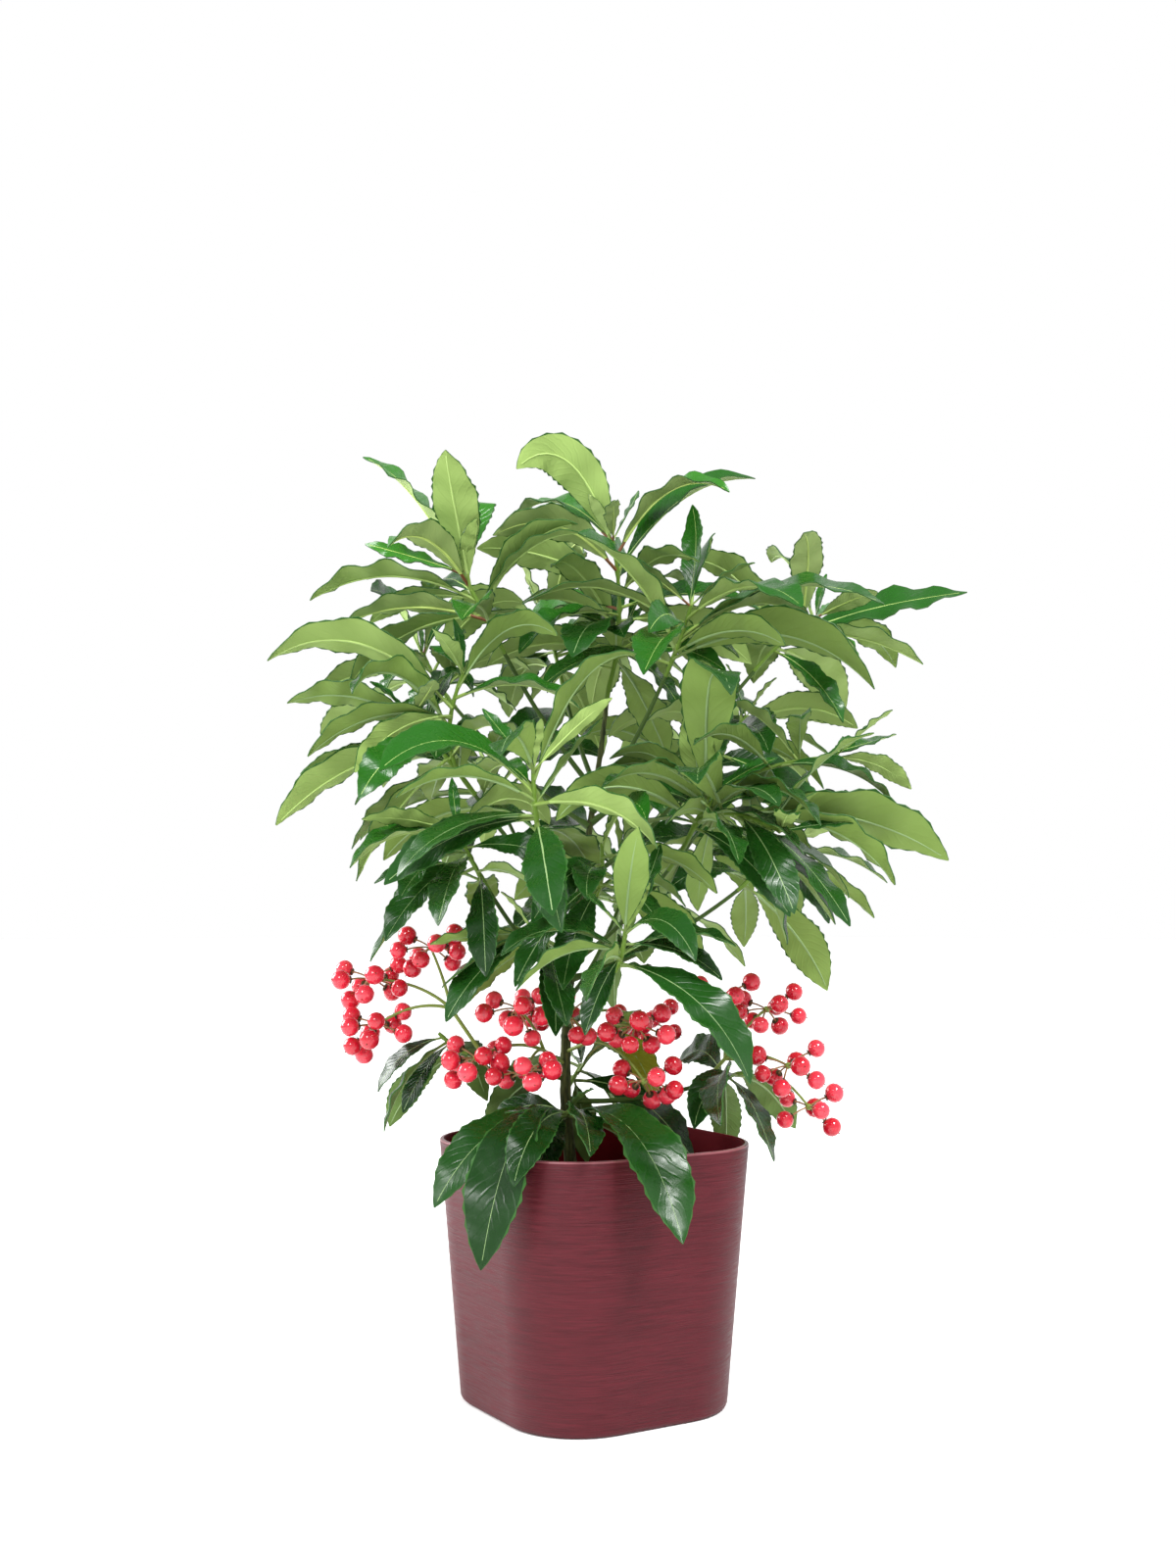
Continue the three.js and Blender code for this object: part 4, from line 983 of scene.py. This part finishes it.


# Leaves. Thick and leathery, folded along the rib, with a wavy crenate margin of a green of its own,
# which also stands as painted shade on the undersides and as a painted highlight on dark upper sides;
# glossy and dark above on old leaves, yellow-green on young ones, paler and duller below. Each is one
# sheet laid along its leaf's midrib, and a modifier puts on the thickness.
BLADE_ROWS = 28
BLADE = {"start": 0.085, "thickness": 0.5, "widest": 1.2, "full": 0.84, "narrowest": 0.25, "fold": 1.5,
         "margin": 0.94, "edge": 0.99, "curl": 0.12, "seed": 7}
MARGIN = {"scallop": 0.045, "wave": 1.7, "on_length": 80, "least": 0.4, "waves": 3.6, "crowding": 1.2}
TIP_CURL = {"height": 0.035, "power": 4, "seed": 19}  # up or down, as a share of the leaf's length
YOUNG = {"count": 3, "length": (50, 26), "slim": 0.75, "rise": (25, 70), "droop": 0.3, "age": -0.3,
         "share": 0.995, "seed": 400}
LESSER = {"count": 4, "length": (52, 76), "rise": (-15, 40), "droop": 1.2, "age": 0.7,
          "share": (0.1, 0.75), "turn": 70, "seed": 700}
TURNING = {"leaves_foot_front": [6], "leaves_foot_back": [2]}  # leaves near the pot that yellow
VEINS = {"pairs": 14, "slant": 5.2, "width": 0.22, "fade": (0.05, 0.3), "bend": 9, "depth": 0.07}
FOLIAGE = {
    "foliage_crown": ["leaves_top", "leaves_right_top", "leaves_left_top", "leaves_back_top"],
    "foliage_left": ["leaves_left_side", "leaves_left_low", "leaves_left_back", "leaves_foot_left"],
    "foliage_right": ["leaves_right_side", "leaves_right_shoulder", "leaves_right_back",
                      "leaves_side_back", "leaves_foot_right"],
    "foliage_front": ["leaves_front_middle", "leaves_front_low", "leaves_centre", "leaves_skirt",
                      "leaves_foot_front"],
    "foliage_back": ["leaves_back_right", "leaves_back_left", "leaves_back_low", "leaves_foot_back"],
}
# A leaf's tone grows lighter and yellower with its height above the lowest leaves, and duller with its age
FRESHNESS = {"from": 140, "over": 270, "low": 1.35, "height": 2.3, "power": 1.3, "age": 0.5, "luck": 0.35}
# Tones of turning leaves, then from the oldest green ones to the youngest, above and below
BLADE_TOPS = ["#7c801c", "#0f320b", "#174211", "#1f5614", "#30701d"]
BLADE_UNDERSIDES = ["#97963f", "#5f7b3c", "#7a9549", "#8da75b", "#94aa66"]
# The margin's one green: darker than the undersides as painted shade, lighter than dark upper sides as a
# painted highlight
BLADE_EDGE_AND_PAINTED_LIGHT = "#28541b"

# Leathery evergreen leaf: a waxed upper side that mirrors the lamps, quilted between its veins,
# and a duller underside on which the veins stand out. The wax is uneven at about 5 mm, and the tone is
# dealt out leaf by leaf.
blade_materials = []
for side, tones, mirror, gloss, rise in (("upper", BLADE_TOPS, 0.36, (0.2, 0.32), -1),
                                         ("under", BLADE_UNDERSIDES, 0.22, (0.55, 0.7), 1)):
    for age, colour in zip(("turning", "old", "grown", "fresh", "young"), tones):
        wax, shader, place = new_material(f"{age}_blade_{side}_side", colour, 0.3, 1.45, mirror)
        laid_out = add_node(wax, "ShaderNodeUVMap", {}, uv_map="blade")
        split = add_node(wax, "ShaderNodeSeparateXYZ", {"Vector": laid_out.outputs["UV"]})
        off_rib = add_node(wax, "ShaderNodeMath", {0: split.outputs["Y"], 1: 0.5}, operation="SUBTRACT")
        off_rib = add_node(wax, "ShaderNodeMath", {0: off_rib.outputs[0]}, operation="ABSOLUTE")
        bend = add_node(wax, "ShaderNodeTexNoise", {
            "Vector": place, "Scale": 1 / (VEINS["bend"] * MM), "Detail": 1})
        slant = add_node(wax, "ShaderNodeMath", {
            0: off_rib.outputs[0], 1: VEINS["slant"]}, operation="MULTIPLY")
        row = add_node(wax, "ShaderNodeMath", {
            0: split.outputs["X"], 1: VEINS["pairs"], 2: bend.outputs["Fac"]}, operation="MULTIPLY_ADD")
        row = add_node(wax, "ShaderNodeMath", {
            0: row.outputs[0], 1: slant.outputs[0]}, operation="SUBTRACT")
        ridge = add_node(wax, "ShaderNodeMath", {0: row.outputs[0], 1: 0.5}, operation="PINGPONG")
        vein = add_node(wax, "ShaderNodeMapRange", {
            "Value": ridge.outputs[0], "From Min": 0, "From Max": VEINS["width"], "To Min": 1, "To Max": 0},
            interpolation_type="SMOOTHSTEP")
        ends = add_node(wax, "ShaderNodeMath", {0: split.outputs["X"], 1: 0.5}, operation="PINGPONG")
        faded = add_node(wax, "ShaderNodeMapRange", {
            "Value": ends.outputs[0], "From Min": VEINS["fade"][0], "From Max": VEINS["fade"][1],
            "To Min": 0, "To Max": rise})
        height = add_node(wax, "ShaderNodeMath", {
            0: vein.outputs["Result"], 1: faded.outputs["Result"], 2: bend.outputs["Fac"]},
            operation="MULTIPLY_ADD")
        add_node(wax, "ShaderNodeBump", {"Height": height.outputs[0], "Distance": VEINS["depth"] * MM},
                 shader.inputs["Normal"])
        bloom = add_node(wax, "ShaderNodeTexNoise", {"Vector": place, "Scale": 1 / (5 * MM), "Detail": 2})
        add_node(wax, "ShaderNodeMapRange", {
            "Value": bloom.outputs["Fac"], "From Min": 0.35, "From Max": 0.65,
            "To Min": gloss[0], "To Max": gloss[1]}, shader.inputs["Roughness"])
        blade_materials.append(wax)

# The blade's margin and edge: dull, and finely grained at about 1 mm. Its green is partly its own and
# partly painted light: darker than the underside as painted shade where the edge curls, and lighter
# than dark upper sides as a painted highlight
rim, shader, place = new_material("crenate_blade_edge_and_painted_light", BLADE_EDGE_AND_PAINTED_LIGHT, 0.5, 1.45, specular=0.3)
add_grain(rim, shader, place, 1, 0.05)
blade_materials.append(rim)

# Lesser leaves stand lower down on the shoots, wherever the whorls leave them room
for name in leaves:
    for shoot, luck in shoots_of(name, LESSER["seed"]):
        for i in range(LESSER["count"]):
            lesser = {
                "bearing": shoot["turn"] + LESSER["turn"] + i * GOLDEN_TURN,
                "rise": mix(*LESSER["rise"], next(luck)), "length": mix(*LESSER["length"], next(luck)),
                "droop": LESSER["droop"], "age": LESSER["age"], "freedom": FREEDOM["ruled"]}
            share = mix(*LESSER["share"], (i + 0.5) / LESSER["count"])
            place_leaf(lesser, shoot["curve"], share, name, luck)

# The youngest leaves stand up round the tip of each shoot
for name in leaves:
    for shoot, luck in shoots_of(name, YOUNG["seed"]):
        for i, later in enumerate(shares_of(YOUNG["count"] - 1)):
            small = {
                "bearing": shoot["turn"] + (shoot["leaves"] + i) * GOLDEN_TURN,
                "rise": mix(*YOUNG["rise"], later), "length": mix(*YOUNG["length"], later),
                "droop": YOUNG["droop"], "age": YOUNG["age"], "freedom": FREEDOM["ruled"],
                "slim": YOUNG["slim"]}
            place_leaf(small, shoot["curve"], YOUNG["share"], name, luck)

for name, numbers in TURNING.items():
    for number in numbers:
        leaves[name][number]["turning"] = True

# The tips turn up or down a little
luck = np.random.default_rng(TIP_CURL["seed"])
shares = shares_of(LEAF_STEPS)
for name in leaves:
    for leaf in leaves[name]:
        places, side, upper = leaf["spine"]
        curl = luck.normal() * TIP_CURL["height"] * leaf["length"] * shares ** TIP_CURL["power"]
        leaf["spine"] = places + upper * curl[:, None], side, upper

bm = bmesh.new()
laid_out = bm.loops.layers.uv.new("blade")
bmesh.ops.create_grid(bm, x_segments=BLADE_ROWS, y_segments=4, size=1, calc_uvs=True)
for vert in bm.verts:
    if 0 < round(abs(vert.co.y), 2) < 1:  # between the rib and the edge
        vert.co.y = math.copysign(BLADE["margin"], vert.co.y)
for edge in bm.edges:
    edge.smooth = not edge.is_boundary
for face in bm.faces:
    face.smooth = True
    face.material_index = 2 * len(BLADE_TOPS) * (abs(face.calc_center_median().y) > BLADE["margin"])
    for loop in face.loops:
        loop[laid_out].uv.y = (loop.vert.co.y + 1) / 2
blade_blank = mesh_of(bm, "blade")
blade_corners = corners_of(blade_blank)


def along_spine(leaf, share):
    """Places, sideways and upward directions at shares of a leaf's length"""
    exact = share * LEAF_STEPS
    first = np.minimum(exact.astype(int), LEAF_STEPS - 1)
    part = (exact - first)[:, None]
    return [rows[first] * (1 - part) + rows[first + 1] * part for rows in leaf["spine"]]


def blade_shape(leaf, luck):
    """The corners of a blade laid along a leaf's midrib"""
    along, reach = (blade_corners[:, 0] + 1) / 2, blade_corners[:, 1]
    middle, side, upper = along_spine(leaf, mix(BLADE["start"], 1, along))
    row = np.rint(along * BLADE_ROWS)
    far = along ** BLADE["widest"]
    outline = 4 * far * (1 - far) * BLADE["full"]
    fold = leaf["fold"] * BLADE["fold"]
    half = leaf["width"] / 2 * outline
    scallop = 1 + MARGIN["scallop"] * np.where(row % 2 == 0, -1, 1) * (np.abs(reach) > BLADE["edge"])
    phase = np.where(reach > 0, *(luck.random(2) * 2 * math.pi))
    wave = np.sin(MARGIN["waves"] * 2 * math.pi * along ** MARGIN["crowding"] + phase)
    wave *= MARGIN["wave"] * (MARGIN["least"] + luck.random()) * outline * np.abs(reach) ** 2
    wave *= leaf["length"] / MARGIN["on_length"]
    lift = np.abs(reach) * math.sin(fold) - BLADE["curl"] * reach ** 4
    sideways = reach * (half * scallop * math.cos(fold) + BLADE["narrowest"])
    return middle + side * sideways[:, None] + upper * (half * lift + wave)[:, None]


def blade_tone(leaf, luck):
    """Which tone a leaf has, from 1 for the oldest green to 4 for the youngest, or 0 if it turns"""
    height = ((leaf["root"][2] - FRESHNESS["from"]) / FRESHNESS["over"]).clip(0, 1)
    fresh = (FRESHNESS["low"] + FRESHNESS["height"] * height ** FRESHNESS["power"]
             - FRESHNESS["age"] * leaf["age"] + luck.normal() * FRESHNESS["luck"])
    return 0 if leaf.get("turning") else int(np.clip(round(fresh), 1, len(BLADE_TOPS) - 1))


luck = np.random.default_rng(BLADE["seed"])
rib_leaves = []
for name, masses in FOLIAGE.items():
    here = [leaf for mass in masses for leaf in leaves[mass]]
    tones = [blade_tone(leaf, luck) for leaf in here]
    shapes = [blade_shape(leaf, luck) for leaf in here]
    rib_leaves += list(zip(here, tones))
    mesh = joined(name, [(blade_blank, shapes, tones)])
    for face in mesh.polygons:
        face.material_index = min(face.material_index, len(blade_materials) - 1)  # the margin has one tone
    piece = shown(mesh, blade_materials, masses)
    thicken = piece.modifiers.new("blade_thickness", "SOLIDIFY")
    thicken.thickness = BLADE["thickness"] * MM
    thicken.offset = -1
    thicken.material_offset = len(BLADE_TOPS)
    thicken.material_offset_rim = len(blade_materials) - 1


# Midribs and leaf stalks. Each leaf stands on a short stalk that runs on as a pale rib under the
# blade, just proud above it, and thins out to the tip.
RIB = {"stalk": 0.95, "foot": 0.85, "tip": 0.36, "full_from": 70, "sides": 5, "steps": 16, "end": 0.96,
       "sunk": (0.15, 0.7)}  # millimetres at least, and as a share of its radius
RIB_GREENS = {"old_rib": "#84a068", "old_leaf_stalk": "#6c8440", "fresh_rib": "#a4bf6c",
              "fresh_leaf_stalk": "#7c9644", "young_rib": "#b8ce70", "flushed_leaf_stalk": "#74492c"}

# Waxy green rib and stalk, finely grained at about 1.5 mm. On young leaves the rib is yellower and
# the stalk is flushed brown-red.
rib_materials = []
for name, colour in RIB_GREENS.items():
    green, shader, place = new_material(name, colour, 0.45, 1.42)
    add_grain(green, shader, place, 1.5, 0.08)
    rib_materials.append(green)

rib_blank = rod_blank(RIB["sides"], RIB["steps"])
for face in rib_blank.polygons:
    face.material_index = int(face.center.z + 0.5 < LEAF["petiole"])
rib_share = shares_of(RIB["steps"]) * RIB["end"]
rib_shapes = []
for leaf, tone in rib_leaves:
    middle, side, upper = along_spine(leaf, rib_share)
    size = min(1, leaf["length"] / RIB["full_from"])
    radii = size * np.interp(
        rib_share, (0, LEAF["petiole"], RIB["end"]), (RIB["stalk"], RIB["foot"], RIB["tip"]))
    sunk = np.maximum(RIB["sunk"][0], radii * RIB["sunk"][1])
    rib_shapes.append(bent(rib_blank, middle - upper * sunk[:, None], radii))
pairs = [2 * max(0, tone - 2) for _, tone in rib_leaves]  # where the greens of each leaf's rib begin
shown(joined("leaf_ribs", [(rib_blank, rib_shapes, pairs)]), rib_materials, [])


# Fruit. Round coral-red berries hang in umbels, each on a thin tan pedicel with a small calyx, and
# keep the dark remnant of the style at the far end.
BERRY_FACETS = (12, 8)
BERRY_FLAT = 0.93  # its length along its pedicel, against its width
BERRY_SEED = 11
# Calyx and style, and where they and the pedicel's end stand on the berry, in its radii
CALYX = {"out": 0.42, "tip": 0.3, "deep": 0.16, "lobes": 5, "at": -0.92}
STYLE = {"out": 0.07, "tip": 0.5, "long": 0.22, "sides": 5, "at": 0.96}
PEDICEL_END = -0.9
PEDICEL_FACETS = (5, 6)
PEDICEL_RADII = (0.42, 0.5)
PEDICEL_ARCH = 0.12  # as a share of its length
BERRY_REDS = ["#bd1a2d", "#cf2439", "#dd3648"]

# Berry skin: thin, taut and waxed, and a little uneven at 4 mm. Each berry carries one clear highlight.
skins = []
for name, colour in zip(("deep", "ripe", "bright"), BERRY_REDS):
    skin, shader, place = new_material(f"{name}_berry_skin", colour, 0.15, 1.42, specular=0.8)
    bloom = add_grain(skin, shader, place, 4, 0.04)
    add_node(skin, "ShaderNodeMapRange", {
        "Value": bloom, "From Min": 0.35, "From Max": 0.65, "To Min": 0.07, "To Max": 0.15},
        shader.inputs["Roughness"])
    skins.append(skin)

# Pedicel: as the fruit's stalk, but flushed tan
tan_stalk, shader, place = new_material("tan_pedicel", "#8f6a44", 0.55, 1.42)
add_grain(tan_stalk, shader, place, 1, 0.06)

# Dry calyx and style: matt brown, wrinkled at about 0.8 mm
dry, shader, place = new_material("dry_calyx", "#4a3a20", 0.85, 1.4)
add_grain(dry, shader, place, 0.8, 0.1)

berry_blank = new_blank(
    "berry", bmesh.ops.create_uvsphere, u_segments=BERRY_FACETS[0], v_segments=BERRY_FACETS[1], radius=1,
    matrix=Matrix.Diagonal((1, 1, BERRY_FLAT, 1)))
calyx_blank = new_blank(
    "calyx", bmesh.ops.create_cone, cap_ends=True, segments=2 * CALYX["lobes"], radius1=CALYX["out"],
    radius2=CALYX["out"] * CALYX["tip"], depth=CALYX["deep"])
style_blank = new_blank(
    "style", bmesh.ops.create_cone, cap_ends=True, segments=STYLE["sides"], radius1=STYLE["out"],
    radius2=STYLE["out"] * STYLE["tip"], depth=STYLE["long"])
knot_blank = new_blank("knot", bmesh.ops.create_icosphere, subdivisions=2, radius=STALK_RADII["knot"])
pedicel_blank = rod_blank(*PEDICEL_FACETS)


def set_on(blank, berry, way, offset):
    """A blank's corners with its Z axis along a berry's pedicel, at an offset in the berry's radii"""
    turn = np.array(Vector(way).to_track_quat("Z", "Y").to_matrix())
    corners = corners_of(blank) * berry["radius"] + (0, 0, offset * berry["radius"])
    return berry["centre"] + corners @ turn.T


steps = PEDICEL_FACETS[1]
berry_shapes, calyx_shapes, style_shapes, pedicel_shapes = [], [], [], []
knots = [corners_of(knot_blank) + end["tip"] for name in berries for end in PIECES[name]["umbels"]]
for name in berries:
    for berry in berries[name]:
        way = unit(berry["centre"] - berry["knot"])
        berry_shapes.append(set_on(berry_blank, berry, way, 0))
        calyx_shapes.append(set_on(calyx_blank, berry, way, CALYX["at"]))
        style_shapes.append(set_on(style_blank, berry, way, STYLE["at"]))
        end = berry["centre"] + way * berry["radius"] * PEDICEL_END
        length = np.linalg.norm(end - berry["knot"])
        middle = (end + berry["knot"]) / 2 + length * PEDICEL_ARCH * UP
        centres = curve_at([berry["knot"], middle, end], shares_of(steps))
        pedicel_shapes.append(bent(pedicel_blank, centres, np.linspace(*PEDICEL_RADII, steps + 1)))
shown(
    joined("fruit_stalks", [
        (twig_blank, stalk_shapes, 0), (knot_blank, knots, 0), (pedicel_blank, pedicel_shapes, 1)]),
    [olive_stalk, tan_stalk], [])
reds = np.random.default_rng(BERRY_SEED).integers(0, len(skins), len(berry_shapes))
shown(
    joined("berries", [
        (berry_blank, berry_shapes, reds),
        (calyx_blank, calyx_shapes, len(skins)),
        (style_blank, style_shapes, len(skins))]),
    [*skins, dry], list(berries))
